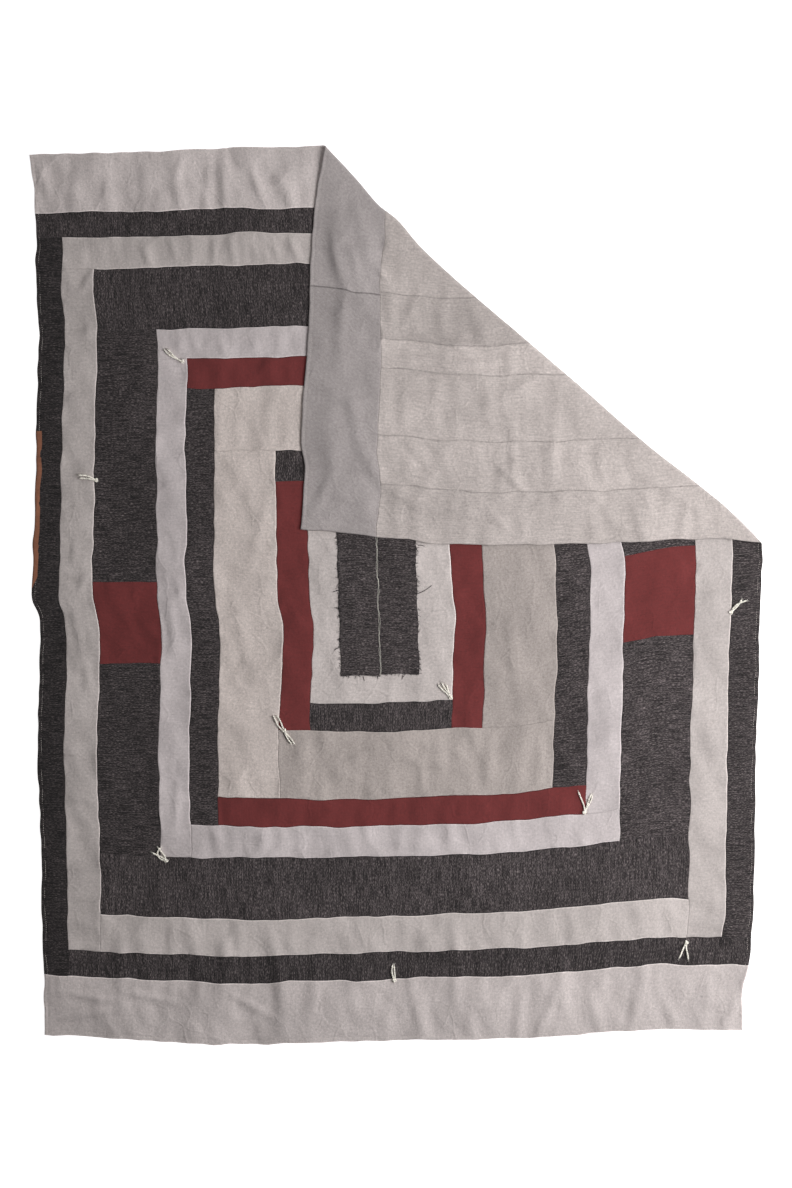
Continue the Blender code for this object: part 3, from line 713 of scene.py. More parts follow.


# Woven cloth. fleck is the second yarn's colour; cross and length are the shares
# of the cloth where flecks run across the strip and along it; mottle and cloud
# are the unevenness at a few and at some hundred millimetres, and streak that of
# bands of yarn that run across the strip. The seam factor scales the brightness
# beside a seam: below 1 it is painted shade in the seam; above 1, on the linens, a
# paler edge with a painted highlight on the seam's lip.
Weave = namedtuple("Weave", "ground fleck cross length mottle cloud streak seam_shade bump slant")
WEAVES = {
    # Slubby charcoal chambray: dark warp, pale weft that flecks across the strip.
    "chambray": Weave("charcoal", "charcoal_fleck", 0.52, 0.08, 0.28, 0.14, 0.68, 0.55, 0.9, 0.0),
    # Washed plain-woven linens: close in colour, with fine slubs both ways.
    "border_linen": Weave("border_linen", None, 0.34, 0.34, 0.12, 0.09, 0.04, 1.50, 0.9, 0.0),
    "pale_linen": Weave("pale_linen", None, 0.30, 0.30, 0.12, 0.08, 0.04, 1.50, 0.8, 0.0),
    "cool_linen": Weave("cool_linen", None, 0.24, 0.24, 0.10, 0.10, 0.04, 1.38, 0.7, 0.0),
    "oat_linen": Weave("oat_linen", None, 0.36, 0.36, 0.13, 0.07, 0.04, 1.24, 0.9, 0.0),
    # Closely woven cotton, dyed brick red: nearly even in colour.
    "brick": Weave("brick", None, 0.20, 0.20, 0.14, 0.08, 0.05, 0.62, 0.6, 0.0),
    # The grey band of the back shows fine slanting streaks of a loose twill.
    "band_linen": Weave("band_linen", None, 0.46, 0.12, 0.12, 0.08, 0.05, 0.62, 0.8, 40.0),
    "back_linen": Weave("back_linen", None, 0.34, 0.30, 0.14, 0.08, 0.09, 0.86, 0.9, 90.0),
    "rust": Weave("rust", None, 0.20, 0.20, 0.12, 0.06, 0.05, 0.80, 0.6, 0.0),
}
# Real threads are about 0.5 mm apart, too fine to show from where the whole
# quilt is seen, so the flecks are drawn 0.9 mm wide and 5 mm long.
FLECK_WIDTH = 0.9 * MM
FLECK_LENGTH = 5 * MM
STREAK_WIDTH = 1.9 * MM
STREAK_LENGTH = 30 * MM
MOTTLE_SIZE = 4.5 * MM
CLOUD_SIZE = 130 * MM
PUCKER_SIZE = 9 * MM
# How far from a seam the painted shade or painted highlight reaches.
PAINTED_SEAM_LIGHT_REACH = 2.6 * MM
# A cloth's share of flecks lowers the noise from which they show, softly. Their
# colours are the ground's, darker or paler, and faint flecks show less.
FLECK_BARE = 0.66
FLECK_GAIN = 0.36
FLECK_SOFTNESS = 0.16
FLECK_STRENGTH = {"To Min": 0.4, "To Max": 0.8}
DARK_WARP = 0.45
DARK_SLUB = 0.72
PALE_SLUB = 1.22
# Noise of middling value, spread to run from 0 to 1.
NOISE_RANGE = {"From Min": 0.25, "From Max": 0.75}
CLOTH_GLOSS = {"Sheen Weight": 0.12, "Sheen Roughness": 0.6, "Specular IOR Level": 0.25}
CLOTH_ROUGHNESS = {"To Min": 0.82, "To Max": 0.96}
YARN_GLOSS = {"Sheen Weight": 0.2, "Specular IOR Level": 0.25}
YARN_ROUGHNESS = {"To Min": 0.75, "To Max": 0.95}
YARN_BUMP = {"Strength": 0.4, "Distance": 0.15 * MM}
THREAD_BUMP = 0.25 * MM
THREAD_BUMP_SHARE = 0.35
PUCKER_BUMP = 0.7 * MM
PUCKER_BUMP_SHARE = 0.5
# Settings that several nodes share, and the sockets of a Mix node for colours.
SOFT_STEP = {"interpolation_type": "SMOOTHSTEP"}
IN_PLANE = {"noise_dimensions": "2D"}
MULTIPLY = {"operation": "MULTIPLY"}
COLOURS = {"data_type": "RGBA"}
MIX_UNDER, MIX_OVER, MIX_RESULT = 6, 7, 2

# Thin creases: their spacing, their width as a share of it, how they wander,
# how large the creased patches are, and how high and how strong a crease is.
CREASE_SPACING = 42 * MM
CREASE_SHARE = 0.10
CREASE_BEND = 26 * MM
CREASE_BEND_SIZE = 45 * MM
CREASE_PATCH_SIZE = 95 * MM
CREASE_PATCH_RANGE = {"From Min": 0.38, "From Max": 0.72}
CREASE_BUMP = {"Strength": 0.6, "Distance": 0.6 * MM}


def fleck_pattern(tree, place, slant, size, offset, low, high):
    """Short flecks of one yarn, as a share from 0 to 1."""
    turn = (0.0, 0.0, math.radians(slant))
    mapped = add_node(
        tree, "ShaderNodeMapping", {"vector_type": "TEXTURE"},
        {"Location": (offset, offset, 0.0), "Rotation": turn, "Scale": (*size, 1.0)},
        {"Vector": place},
    )
    noise = add_node(
        tree, "ShaderNodeTexNoise", IN_PLANE, {"Scale": 1.0, "Detail": 2.0, "Roughness": 0.6},
        {"Vector": mapped.outputs[0]},
    )
    return add_node(
        tree, "ShaderNodeMapRange", SOFT_STEP, {"From Min": low, "From Max": high},
        {"Value": noise.outputs[0]},
    ).outputs[0]


def noise_share(tree, place, size, detail, offset):
    """Even unevenness of one size, as a share of about 0 to 1."""
    mapped = add_node(
        tree, "ShaderNodeMapping", {"vector_type": "POINT"},
        {"Location": (offset, offset, 0.0), "Scale": (1 / size, 1 / size, 1.0)}, {"Vector": place},
    )
    noise = add_node(
        tree, "ShaderNodeTexNoise", IN_PLANE, {"Scale": 1.0, "Detail": detail, "Roughness": 0.55},
        {"Vector": mapped.outputs[0]},
    )
    return add_node(
        tree, "ShaderNodeMapRange", values=NOISE_RANGE, links={"Value": noise.outputs[0]}
    ).outputs[0]


def crease_pattern(tree, place):
    """Thin creases of washed cloth, in patches, as a share from 0 to 1."""
    bend = add_node(
        tree, "ShaderNodeTexNoise", IN_PLANE, {"Scale": 1 / CREASE_BEND_SIZE, "Detail": 1.0},
        {"Vector": place},
    )
    shifted = add_node(
        tree, "ShaderNodeVectorMath", {"operation": "MULTIPLY_ADD"},
        {1: (CREASE_BEND, CREASE_BEND, 0.0)}, {0: bend.outputs["Color"], 2: place},
    )
    net = add_node(
        tree, "ShaderNodeTexVoronoi", {"voronoi_dimensions": "2D", "feature": "DISTANCE_TO_EDGE"},
        {"Scale": 1 / CREASE_SPACING, "Randomness": 1.0}, {"Vector": shifted.outputs[0]},
    )
    line = add_node(
        tree, "ShaderNodeMapRange", SOFT_STEP,
        {"From Min": 0.0, "From Max": CREASE_SHARE, "To Min": 1.0, "To Max": 0.0},
        {"Value": net.outputs["Distance"]},
    ).outputs[0]
    where = noise_share(tree, place, CREASE_PATCH_SIZE, detail=1.0, offset=4.2)
    shown = add_node(
        tree, "ShaderNodeMapRange", SOFT_STEP, CREASE_PATCH_RANGE, {"Value": where},
    ).outputs[0]
    return add_node(tree, "ShaderNodeMath", MULTIPLY, links={0: line, 1: shown}).outputs[0]


def woven_cloth(name, tint_and_light=1.0):
    """The finish of one cloth, from its row of WEAVES; the factor scales its brightness, for the
    cloth's own tone and for painted light and shade.
    """
    weave = WEAVES[name]
    colours = bpy.context.scene.quilt_colours
    ground = [channel * tint_and_light for channel in getattr(colours, weave.ground)]
    if weave.fleck:
        cross_colour = [channel * tint_and_light for channel in getattr(colours, weave.fleck)]
        length_colour = [channel * DARK_WARP for channel in ground]
    else:
        cross_colour = [min(channel * PALE_SLUB, 1.0) for channel in ground]
        length_colour = [channel * DARK_SLUB for channel in ground]
    material, tree, shader = new_material(f"{name}_cloth", CLOTH_GLOSS)
    cloth = add_node(tree, "ShaderNodeAttribute", {"attribute_name": "cloth"})
    split = add_node(tree, "ShaderNodeSeparateXYZ", links={0: cloth.outputs["Vector"]})
    place = add_node(
        tree, "ShaderNodeCombineXYZ", links={0: split.outputs[0], 1: split.outputs[1]}
    ).outputs[0]

    # Flecks that run along the strip, and over them those that run across it.
    # Every pattern has its own offset, so that no two of them fall together.
    flecks, colour = [], None
    for share, size, offset, fleck_colour in (
        (weave.length, (FLECK_LENGTH, FLECK_WIDTH), 7.7, length_colour),
        (weave.cross, (FLECK_WIDTH, FLECK_LENGTH), 3.1, cross_colour),
    ):
        low = FLECK_BARE - FLECK_GAIN * share
        fleck = fleck_pattern(tree, place, weave.slant, size, offset, low, low + FLECK_SOFTNESS)
        strength = add_node(
            tree, "ShaderNodeMapRange", values=FLECK_STRENGTH, links={"Value": fleck}
        )
        shown = add_node(tree, "ShaderNodeMath", MULTIPLY, links={0: fleck, 1: strength.outputs[0]})
        under = {MIX_UNDER: colour} if colour else {}
        mix = add_node(
            tree, "ShaderNodeMix", COLOURS,
            {MIX_UNDER: (*ground, 1.0), MIX_OVER: (*fleck_colour, 1.0)},
            {0: shown.outputs[0], **under},
        )
        flecks.append(fleck)
        colour = mix.outputs[MIX_RESULT]

    # Brightness: painted shade, or on the linens a painted highlight, beside a seam, times mottle,
    # cloud and streaks.
    mottle = noise_share(tree, place, MOTTLE_SIZE, detail=3.0, offset=1.3)
    cloud = noise_share(tree, place, CLOUD_SIZE, detail=2.0, offset=5.9)
    streak_size = (STREAK_WIDTH, STREAK_LENGTH)
    low, high = NOISE_RANGE.values()
    streak = fleck_pattern(tree, place, weave.slant, streak_size, 2.3, low, high)
    light = add_node(
        tree, "ShaderNodeMapRange", SOFT_STEP,
        {"From Min": 0.0, "From Max": PAINTED_SEAM_LIGHT_REACH, "To Min": weave.seam_shade, "To Max": 1.0},
        {"Value": split.outputs[2]},
    ).outputs[0]
    for share, depth in ((mottle, weave.mottle), (cloud, weave.cloud), (streak, weave.streak)):
        uneven = add_node(
            tree, "ShaderNodeMapRange", values={"To Min": 1 - depth, "To Max": 1 + depth},
            links={"Value": share},
        )
        light = add_node(
            tree, "ShaderNodeMath", MULTIPLY, links={0: uneven.outputs[0], 1: light},
        ).outputs[0]
    grey = add_node(tree, "ShaderNodeCombineColor", links={0: light, 1: light, 2: light})
    lit = add_node(tree, "ShaderNodeVectorMath", MULTIPLY, links={0: colour, 1: grey.outputs[0]})
    rough = add_node(tree, "ShaderNodeMapRange", values=CLOTH_ROUGHNESS, links={"Value": mottle})

    # Relief: the yarns, fine puckers and thin creases.
    threads = add_node(
        tree, "ShaderNodeMath", {"operation": "SUBTRACT"}, links={0: flecks[1], 1: flecks[0]}
    ).outputs[0]
    fine_pucker = noise_share(tree, place, PUCKER_SIZE, detail=2.0, offset=9.4)
    relief = None
    for height, values in (
        (threads, {"Strength": THREAD_BUMP_SHARE * weave.bump, "Distance": THREAD_BUMP}),
        (fine_pucker, {"Strength": PUCKER_BUMP_SHARE * weave.bump, "Distance": PUCKER_BUMP}),
        (crease_pattern(tree, place), CREASE_BUMP),
    ):
        below = {"Normal": relief} if relief else {}
        bump = add_node(tree, "ShaderNodeBump", values=values, links={"Height": height, **below})
        relief = bump.outputs[0]
    for name, socket in (
        ("Base Color", lit.outputs[0]), ("Roughness", rough.outputs[0]), ("Normal", relief),
    ):
        tree.links.new(socket, shader.inputs[name])
    return material


def yarn_finish(name, colour, unevenness, size):
    """Soft cotton yarn or thread: matt, a little uneven along its length."""
    material, tree, shader = new_material(name, YARN_GLOSS)
    place = add_node(tree, "ShaderNodeTexCoord").outputs["Object"]
    noise = add_node(
        tree, "ShaderNodeTexNoise", values={"Scale": 1 / size, "Detail": 3.0, "Roughness": 0.6},
        links={"Vector": place},
    ).outputs[0]
    dark = [channel * (1 - unevenness) for channel in colour]
    base = add_node(
        tree, "ShaderNodeMix", COLOURS, {MIX_UNDER: (*dark, 1.0), MIX_OVER: (*colour, 1.0)},
        {0: noise},
    )
    rough = add_node(tree, "ShaderNodeMapRange", values=YARN_ROUGHNESS, links={"Value": noise})
    bump = add_node(tree, "ShaderNodeBump", values=YARN_BUMP, links={"Height": noise})
    for name, socket in (
        ("Base Color", base.outputs[MIX_RESULT]), ("Roughness", rough.outputs[0]),
        ("Normal", bump.outputs[0]),
    ):
        tree.links.new(socket, shader.inputs[name])
    return material


def point_values(data, name):
    """Three numbers for each point, as an array."""
    flat = np.empty(len(data) * 3)
    data.foreach_get(name, flat)
    return flat.reshape(-1, 3)


def mesh_of(bm, name):
    """A bmesh as a new mesh; the bmesh is freed."""
    mesh = bpy.data.meshes.new(name)
    bm.to_mesh(mesh)
    bm.free()
    return mesh


def coordinates(mesh):
    """The points of a mesh as an array."""
    return point_values(mesh.vertices, "co")


def move_points(mesh, points):
    """Sets the points of a mesh from an array."""
    mesh.vertices.foreach_set("co", points.astype(np.float32).ravel())
    mesh.update()


def new_piece(name, mesh, material, node):
    """Links a finished mesh as a piece that rides on the quilt and stands for a node."""
    mesh.name = name
    mesh.materials.clear()
    mesh.materials.append(material)
    mesh.shade_smooth()
    piece = bpy.data.objects.new(name, mesh)
    bpy.context.scene.collection.objects.link(piece)
    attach(piece, "root")
    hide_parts(node)
    return piece


def row_stops(start, end, cell, start_edge, end_edge):
    """Distances of the rows of points from start to end, closer at the edges."""
    first = [start + distance for distance in start_edge]
    last = [end - distance for distance in reversed(end_edge)]
    count = max(2, round((last[0] - first[-1]) / cell))
    middle = np.linspace(first[-1], last[0], count + 1)[1:-1]
    return np.array([*first, *middle, *last])


def cut_along_fold(bm):
    """Adds rows of points along the fold, so that the bend is round."""
    for step in range(BEND_STEPS + 1):
        distance = math.pi * FOLD_RADIUS * step / BEND_STEPS - FOLD_RADIUS
        on_line = FOLD_TOP + FOLD_ACROSS * distance
        bmesh.ops.bisect_plane(
            bm, geom=bm.verts[:] + bm.edges[:] + bm.faces[:], dist=SAME,
            plane_co=(on_line[0], on_line[1], 0.0), plane_no=(FOLD_ACROSS[0], FOLD_ACROSS[1], 0.0),
        )


def closed_grid(stops_across, stops_along, to_plan, face, fold):
    """A closed thin slab on uneven rows, in plan, with z at 0 inside and face outside.

    Its attribute "cloth" keeps each point's distances from the cloth's edges.
    """
    bm = bmesh.new()
    cells = (len(stops_across) - 1, len(stops_along) - 1)
    bmesh.ops.create_grid(bm, x_segments=cells[0], y_segments=cells[1], size=0.5)
    mesh = mesh_of(bm, "cloth")
    steps = np.rint((coordinates(mesh)[:, :2] + 0.5) * cells).astype(int)
    across, along = stops_across[steps[:, 0]], stops_along[steps[:, 1]]
    place = to_plan(across, along)
    move_points(mesh, np.column_stack((place, np.zeros(len(place)))))
    kept = mesh.attributes.new("cloth", "FLOAT_VECTOR", "POINT")
    kept.data.foreach_set("vector", np.column_stack((across, along, 0 * along)).ravel())

    bm = bmesh.new()
    bm.from_mesh(mesh)
    if fold:
        cut_along_fold(bm)
    raised = bmesh.ops.extrude_face_region(bm, geom=bm.faces[:])["geom"]
    outer = [item for item in raised if isinstance(item, bmesh.types.BMVert)]
    bmesh.ops.translate(bm, vec=(0.0, 0.0, face), verts=outer)
    bmesh.ops.recalc_face_normals(bm, faces=bm.faces[:])
    bm.to_mesh(mesh)
    bm.free()
    return mesh


def cloth_places(mesh):
    """Distances from the cloth's left and bottom edges of a mesh's points."""
    return point_values(mesh.attributes["cloth"].data, "vector")[:, :2].T


def keep_cloth_coordinates(mesh, along, across, edge):
    """Sets what the materials read: along the strip, across it, and to its edge."""
    values = np.column_stack((along, across, edge)).astype(np.float32)
    mesh.attributes["cloth"].data.foreach_set("vector", values.ravel())


def pucker(along, share_across, edge, seed):
    """Ripples across a strip between its seams, as a height about 0."""
    rng = np.random.default_rng(seed)
    total = np.zeros(len(along))
    for wavelength in PUCKER_WAVES:
        lean = rng.uniform(-PUCKER_LEAN, PUCKER_LEAN)
        phase = rng.uniform(0, 2 * math.pi)
        total += np.sin(2 * math.pi * along / wavelength + phase + lean * share_across)
    total = total / math.sqrt(len(PUCKER_WAVES))
    kept = PUCKER_AT_SEAM + (1 - PUCKER_AT_SEAM) * smooth(edge / PUCKER_FADE)
    return PUCKER_RISE * total * kept


# A piece of cloth by its distances from the cloth's left and bottom edges.
# inside is the side that meets the next round, and the run along which it does.
Cut = namedtuple("Cut", "name left right bottom top cloth inside low high")


def crosses_fold(sizes, cut):
    """True if the corner's fold runs through a cut."""
    across = np.array([cut.left, cut.right, cut.left, cut.right])
    along = np.array([cut.bottom, cut.bottom, cut.top, cut.top])
    place = opened_out(sizes, across, along)
    past = (place - FOLD_TOP) @ FOLD_ACROSS
    return past.min() < FOLD_MARGIN and past.max() > -FOLD_MARGIN


def make_cut(sizes, cut, face, seed, material, node):
    """One cut of cloth as a closed thin sheet; face is 1 for the top, -1 for the back."""
    seam = sizes.seam_gap / 2
    outside = (
        cut.left <= 0, cut.right >= sizes.cloth_width - SAME, cut.bottom <= 0,
        cut.top >= sizes.cloth_length - SAME,
    )
    lip = SUNK_LIP if cut.cloth in SUNK_CLOTHS else PROUD_LIP
    lip = FLAT_LIP if cut.cloth in FLAT_CLOTHS else lip
    lips = [HEM_LIP if is_hem else lip for is_hem in outside]
    gaps = [0.0 if is_hem else seam for is_hem in outside]
    left, right = cut.left + gaps[0], cut.right - gaps[1]
    bottom, top = cut.bottom + gaps[2], cut.top - gaps[3]
    stops_across = row_stops(left, right, sizes.cell, lips[0].distance, lips[1].distance)
    stops_along = row_stops(bottom, top, sizes.cell, lips[2].distance, lips[3].distance)

    def to_plan(across, along):
        return sewn(sizes, across, along, SEWING_SEED + face)

    mesh = closed_grid(stops_across, stops_along, to_plan, face, crosses_fold(sizes, cut))
    points = coordinates(mesh)
    across, along = cloth_places(mesh)
    distances = (across - left, right - across, along - bottom, top - along)
    outer = points[:, 2] * face > 0.5
    lengthwise = cut.right - cut.left > cut.top - cut.bottom
    run, over = (across, along) if lengthwise else (along, across)
    ends = ("left", "right") if lengthwise else ("bottom", "top")
    quiet = SIDES[2:] if cut.cloth == "band_linen" else ends
    level = np.zeros(len(points))
    # Distance to the nearest side that meets another piece, where the material paints shade or a
    # highlight.
    shaded = np.full(len(points), 1.0)
    for side, distance, lip, is_hem in zip(SIDES, distances, lips, outside):
        meets = np.full(len(points), is_hem or side not in quiet)
        if side == cut.inside:
            meets &= (run > cut.low - seam) & (run < cut.high + seam)
        full = np.interp(distance, lip.distance, lip.level)
        flat = np.interp(distance, FLAT_LIP.distance, FLAT_LIP.level)
        level += np.where(meets, full, flat)
        shaded = np.where(meets, np.minimum(shaded, distance), shaded)
    level = np.maximum(level, -LIP_DEEPEST)
    start, width = (bottom, top - bottom) if lengthwise else (left, right - left)
    place = points[:, :2]
    past = (place - FOLD_TOP) @ FOLD_ACROSS
    if face > 0:
        shown = clear_of_flap(place) * smooth(-past / RIPPLE_FADE)
    else:
        shown = smooth(past / RIPPLE_FADE)
    nearest = np.min(distances, axis=0)
    ripple = pucker(run, (over - start) / width, nearest, seed)
    ripple = ripple * (HIDDEN_PUCKER + (1 - HIDDEN_PUCKER) * shown)
    ripple = ripple * CALM_PUCKER.get(cut.name, 1.0)
    level = level + np.maximum(ripple, -PUCKER_DIP)
    inner = LAYER_GAP / 2 * (smooth(nearest / HEM_TAPER) if any(outside) else 1.0)
    height = np.where(outer, OUTER_HEIGHT + level, inner)
    move_points(mesh, laid(place, face * height))
    keep_cloth_coordinates(mesh, run, over, shaded)
    piece = new_piece(cut.name, mesh, material, node)
    held = "folded" if crosses_fold(sizes, cut) else "laid"


def top_cuts(sizes):
    """The strips of the pieced top, from the outside in."""
    cuts = []
    left, right, bottom, top = 0.0, sizes.cloth_width, 0.0, sizes.cloth_length
    for row in ROUNDS:
        inner = (left + row.left, right - row.right, bottom + row.bottom, top - row.top)
        name = f"{row.name}_top"
        run = (inner[0], inner[1])
        cuts.append(Cut(name, left, right, inner[3], top, row.end_cloth, "bottom", *run))
        sides = [("left", "right", left, inner[0]), ("right", "left", inner[1], right)]
        for side, inside, start, end in sides if row.left else ():
            name = f"{row.name}_{side}"
            foot = inner[2] if side in row.under else bottom
            parts = [(name, foot, inner[3], row.side_cloth)]
            if row.name == BLOCK_ROUND:
                middle = (bottom + inner[3]) / 2
                low, high = middle - BLOCK_LENGTH / 2, middle + BLOCK_LENGTH / 2
                parts = [
                    (f"{name}_lower", foot, low, row.side_cloth),
                    (f"{name}_block", low, high, "brick"),
                    (f"{name}_upper", high, inner[3], row.side_cloth),
                ]
            for part, low, high, cloth in parts:
                cuts.append(Cut(part, start, end, low, high, cloth, inside, inner[2], inner[3]))
        name = f"{row.name}_bottom"
        start = left if "left" in row.under else inner[0]
        end = right if "right" in row.under else inner[1]
        cuts.append(Cut(name, start, end, bottom, inner[2], row.end_cloth, "top", *run))
        left, right, bottom, top = inner
    cuts.append(Cut("centre_panel", left, right, bottom, top, "pale_linen", None, 0.0, 0.0))
    return cuts


def back_cuts(sizes):
    """The band and the panels of the pieced back, with the brightness factor of each: its own tone
    and painted light and shade.
    """
    width, length = sizes.cloth_width, sizes.cloth_length
    band, cross = length - BAND_WIDTH, width - BAND_SEAM
    cuts = [
        (Cut(name, left, right, band, length, "band_linen", None, 0.0, 0.0), tint_and_light)
        for name, left, right, tint_and_light in (
            ("back_band_right", cross, width, BAND_RIGHT_TINT_AND_LIGHT), ("back_band_left", 0.0, cross, 1.0),
        )
    ]
    right = width
    for number, (edge, tint_and_light) in enumerate(BACK_PANELS, 1):
        left = max(width - edge * MM, 0.0)
        name = f"back_panel_{number}"
        cuts.append((Cut(name, left, right, 0.0, band, "back_linen", None, 0.0, 0.0), tint_and_light))
        right = left
    return cuts


def beside_and_over(paths):
    """Unit vectors level beside each point of paths, and over it."""
    run = np.gradient(paths, axis=-2)
    run /= np.linalg.norm(run, axis=-1, keepdims=True)
    side = np.cross((0.0, 0.0, 1.0), run)
    side /= np.maximum(np.linalg.norm(side, axis=-1, keepdims=True), SAME)
    return side, np.cross(run, side)


def strand_mesh(paths, radii, sides):
    """Joined closed tubes along paths: strands by points by 3, with their radii."""
    count, rings = paths.shape[:2]
    bm = bmesh.new()
    bmesh.ops.create_circle(bm, cap_ends=True, segments=sides, radius=1.0)
    end = bm.faces[:]
    for _ in range(rings - 1):
        moved = bmesh.ops.extrude_face_region(bm, geom=end)["geom"]
        verts = [item for item in moved if isinstance(item, bmesh.types.BMVert)]
        bmesh.ops.translate(bm, vec=(0.0, 0.0, 1.0), verts=verts)
        end = [item for item in moved if isinstance(item, bmesh.types.BMFace)]
    bmesh.ops.recalc_face_normals(bm, faces=bm.faces[:])
    pattern = mesh_of(bm, "strand")
    proto = coordinates(pattern)
    helper = bpy.data.objects.new("strand", pattern)
    bpy.context.scene.collection.objects.link(helper)
    repeat = helper.modifiers.new("repeat", "ARRAY")
    repeat.count = count
    repeat.use_relative_offset = False
    graph = bpy.context.evaluated_depsgraph_get()
    mesh = bpy.data.meshes.new_from_object(helper.evaluated_get(graph))
    bpy.data.objects.remove(helper)

    ring = np.rint(proto[:, 2]).astype(int)
    angle = np.arctan2(proto[:, 1], proto[:, 0])[None, :, None]
    side, over = beside_and_over(paths)
    spoke = np.cos(angle) * side[:, ring] + np.sin(angle) * over[:, ring]
    points = paths[:, ring] + radii[:, ring, None] * spoke
    move_points(mesh, points.reshape(-1, 3))
    return mesh


def joined(meshes):
    """Several meshes as one."""
    bm = bmesh.new()
    for mesh in meshes:
        bm.from_mesh(mesh)
    return mesh_of(bm, "joined")


def curved_path(start, headings, length):
    """Points in plan along curves that start at start with headings in radians."""
    step = length / (headings.shape[-1] - 1)
    moves = np.stack((np.cos(headings), np.sin(headings)), axis=-1) * step
    path = np.cumsum(moves, axis=-2) - moves[..., :1, :]
    return path + start


def plies(centre, radius, turn_length, phase=0.0):
    """Two plies twisted round a centreline of points by 3, as 2 by points by 3."""
    steps = np.linalg.norm(np.diff(centre, axis=0), axis=1)
    run = np.concatenate(([0.0], np.cumsum(steps)))
    side, over = beside_and_over(centre)
    made = []
    for ply in (0.0, math.pi):
        angle = (2 * math.pi * run / turn_length + ply + phase)[:, None]
        made.append(centre + radius * (np.cos(angle) * side + np.sin(angle) * over))
    return np.array(made)


def outer_level(points, height):
    """Points on the top cloth: plan places with z as a height above its surface."""
    place = points[:, :2]
    flat = laid(place, np.full(len(place), OUTER_HEIGHT))
    return np.column_stack((flat[:, :2], flat[:, 2] + points[:, 2] + height))


def tie_meshes(sizes, knot, index):
    """The plies, knot and frayed ends of one tie."""
    rng = np.random.default_rng(TIE_SEED + index)
    ply_radius = sizes.yarn * PLY_SHARE
    offset = sizes.yarn / 2 - ply_radius
    rest = LAYER_GAP + sizes.yarn / 2
    strands, fibres = [], []
    for order, tail in enumerate(knot.tails):
        share = np.linspace(0.0, 1.0, TAIL_POINTS)
        heading = np.radians(tail.heading + tail.bend * share)
        phase = rng.uniform(0, LARGEST_PHASE)
        heading = heading + TAIL_WAVER * np.sin(share * TAIL_WAVER_RATE + phase)
        flat = curved_path((knot.x, knot.y), heading, tail.length)
        rise = TAIL_STACK * order * (1 - share) + TAIL_ARCH * np.sin(math.pi * share) ** 2
        centre = outer_level(np.column_stack((flat, rise)), rest)
        strands.extend(plies(centre, offset, sizes.yarn_twist, rng.uniform(0, LARGEST_PHASE)))
        for _ in range(FRAY_FIBRES):
            spread = math.radians(rng.uniform(-FRAY_SPREAD, FRAY_SPREAD))
            turn = heading[-1] + spread * np.linspace(*FRAY_TURN, FRAY_POINTS)
            loose = curved_path(flat[-2], turn, FRAY_LENGTH * rng.uniform(*FRAY_LENGTH_SHARES))
            height = np.full(FRAY_POINTS, rng.uniform(*FRAY_HEIGHTS) * MM)
            fibres.append(outer_level(np.column_stack((loose, height)), rest))
    # The knot is a trefoil that lies flat, turned at random.
    turn = np.linspace(0.0, KNOT_TURN, TAIL_POINTS)
    size = KNOT_RADIUS / KNOT_REACH
    spin = rng.uniform(0, LARGEST_PHASE)
    x = (np.sin(turn) + 2 * np.sin(2 * turn)) * size
    y = (np.cos(turn) - 2 * np.cos(2 * turn)) * size
    knot_x = knot.x + x * math.cos(spin) - y * math.sin(spin)
    knot_y = knot.y + x * math.sin(spin) + y * math.cos(spin)
    path = np.column_stack((knot_x, knot_y, KNOT_LEVEL - KNOT_SWING * np.sin(3 * turn)))
    tight = offset * KNOT_TIGHTNESS
    strands.extend(plies(outer_level(path, LAYER_GAP), tight, sizes.yarn_twist))
    strands, fibres = np.array(strands), np.array(fibres)
    thick = np.full(strands.shape[:2], ply_radius)
    thick[:, -1] *= TAIL_END_SHARE
    thin = np.linspace(*FIBRE_RADII, FRAY_POINTS) * MM * np.ones((len(fibres), 1))
    return [strand_mesh(strands, thick, sides=6), strand_mesh(fibres, thin, sides=4)]


def stitch_mesh(sizes, spots, runs, face, length, radius):
    """Short stitches lying on one face of the cloth at spots, along runs."""
    shares = np.linspace(-0.5, 0.5, len(STITCH_DIPS))
    across = spots[:, None, 0] + runs[:, None, 0] * shares * length
    along = spots[:, None, 1] + runs[:, None, 1] * shares * length
    height = np.broadcast_to(OUTER_HEIGHT - STITCH_SINK + STITCH_DIPS, across.shape)
    flat = on_cloth(sizes, across.ravel(), along.ravel(), face * height.ravel())
    paths = flat.reshape(len(spots), len(STITCH_DIPS), 3)
    radii = np.broadcast_to(STITCH_TAPER * radius, paths.shape[:2])
    return strand_mesh(paths, radii, sides=4)


def hem_spots(sizes):
    """Places and directions of the hem stitches round the quilt."""
    inset, pitch = sizes.stitch_inset, sizes.stitch_pitch
    width, length = sizes.cloth_width, sizes.cloth_length
    rng = np.random.default_rng(HEM_SEED)
    spots, runs = [], []
    for low, high, fixed, upright in (
        (inset, width - inset, inset, False), (inset, width - inset, length - inset, False),
        (inset, length - inset, inset, True), (inset, length - inset, width - inset, True),
    ):
        run = np.arange(low + pitch / 2, high, pitch)
        scatter = rng.normal(0, HEM_SCATTER, len(run))
        side = fixed + HEM_SWAY * np.sin(run / HEM_SWAY_LENGTH) + scatter
        spots.append(np.column_stack((side, run) if upright else (run, side)))
        runs.append(np.tile((0.0, 1.0) if upright else (1.0, 0.0), (len(run), 1)))
    return np.concatenate(spots), np.concatenate(runs)


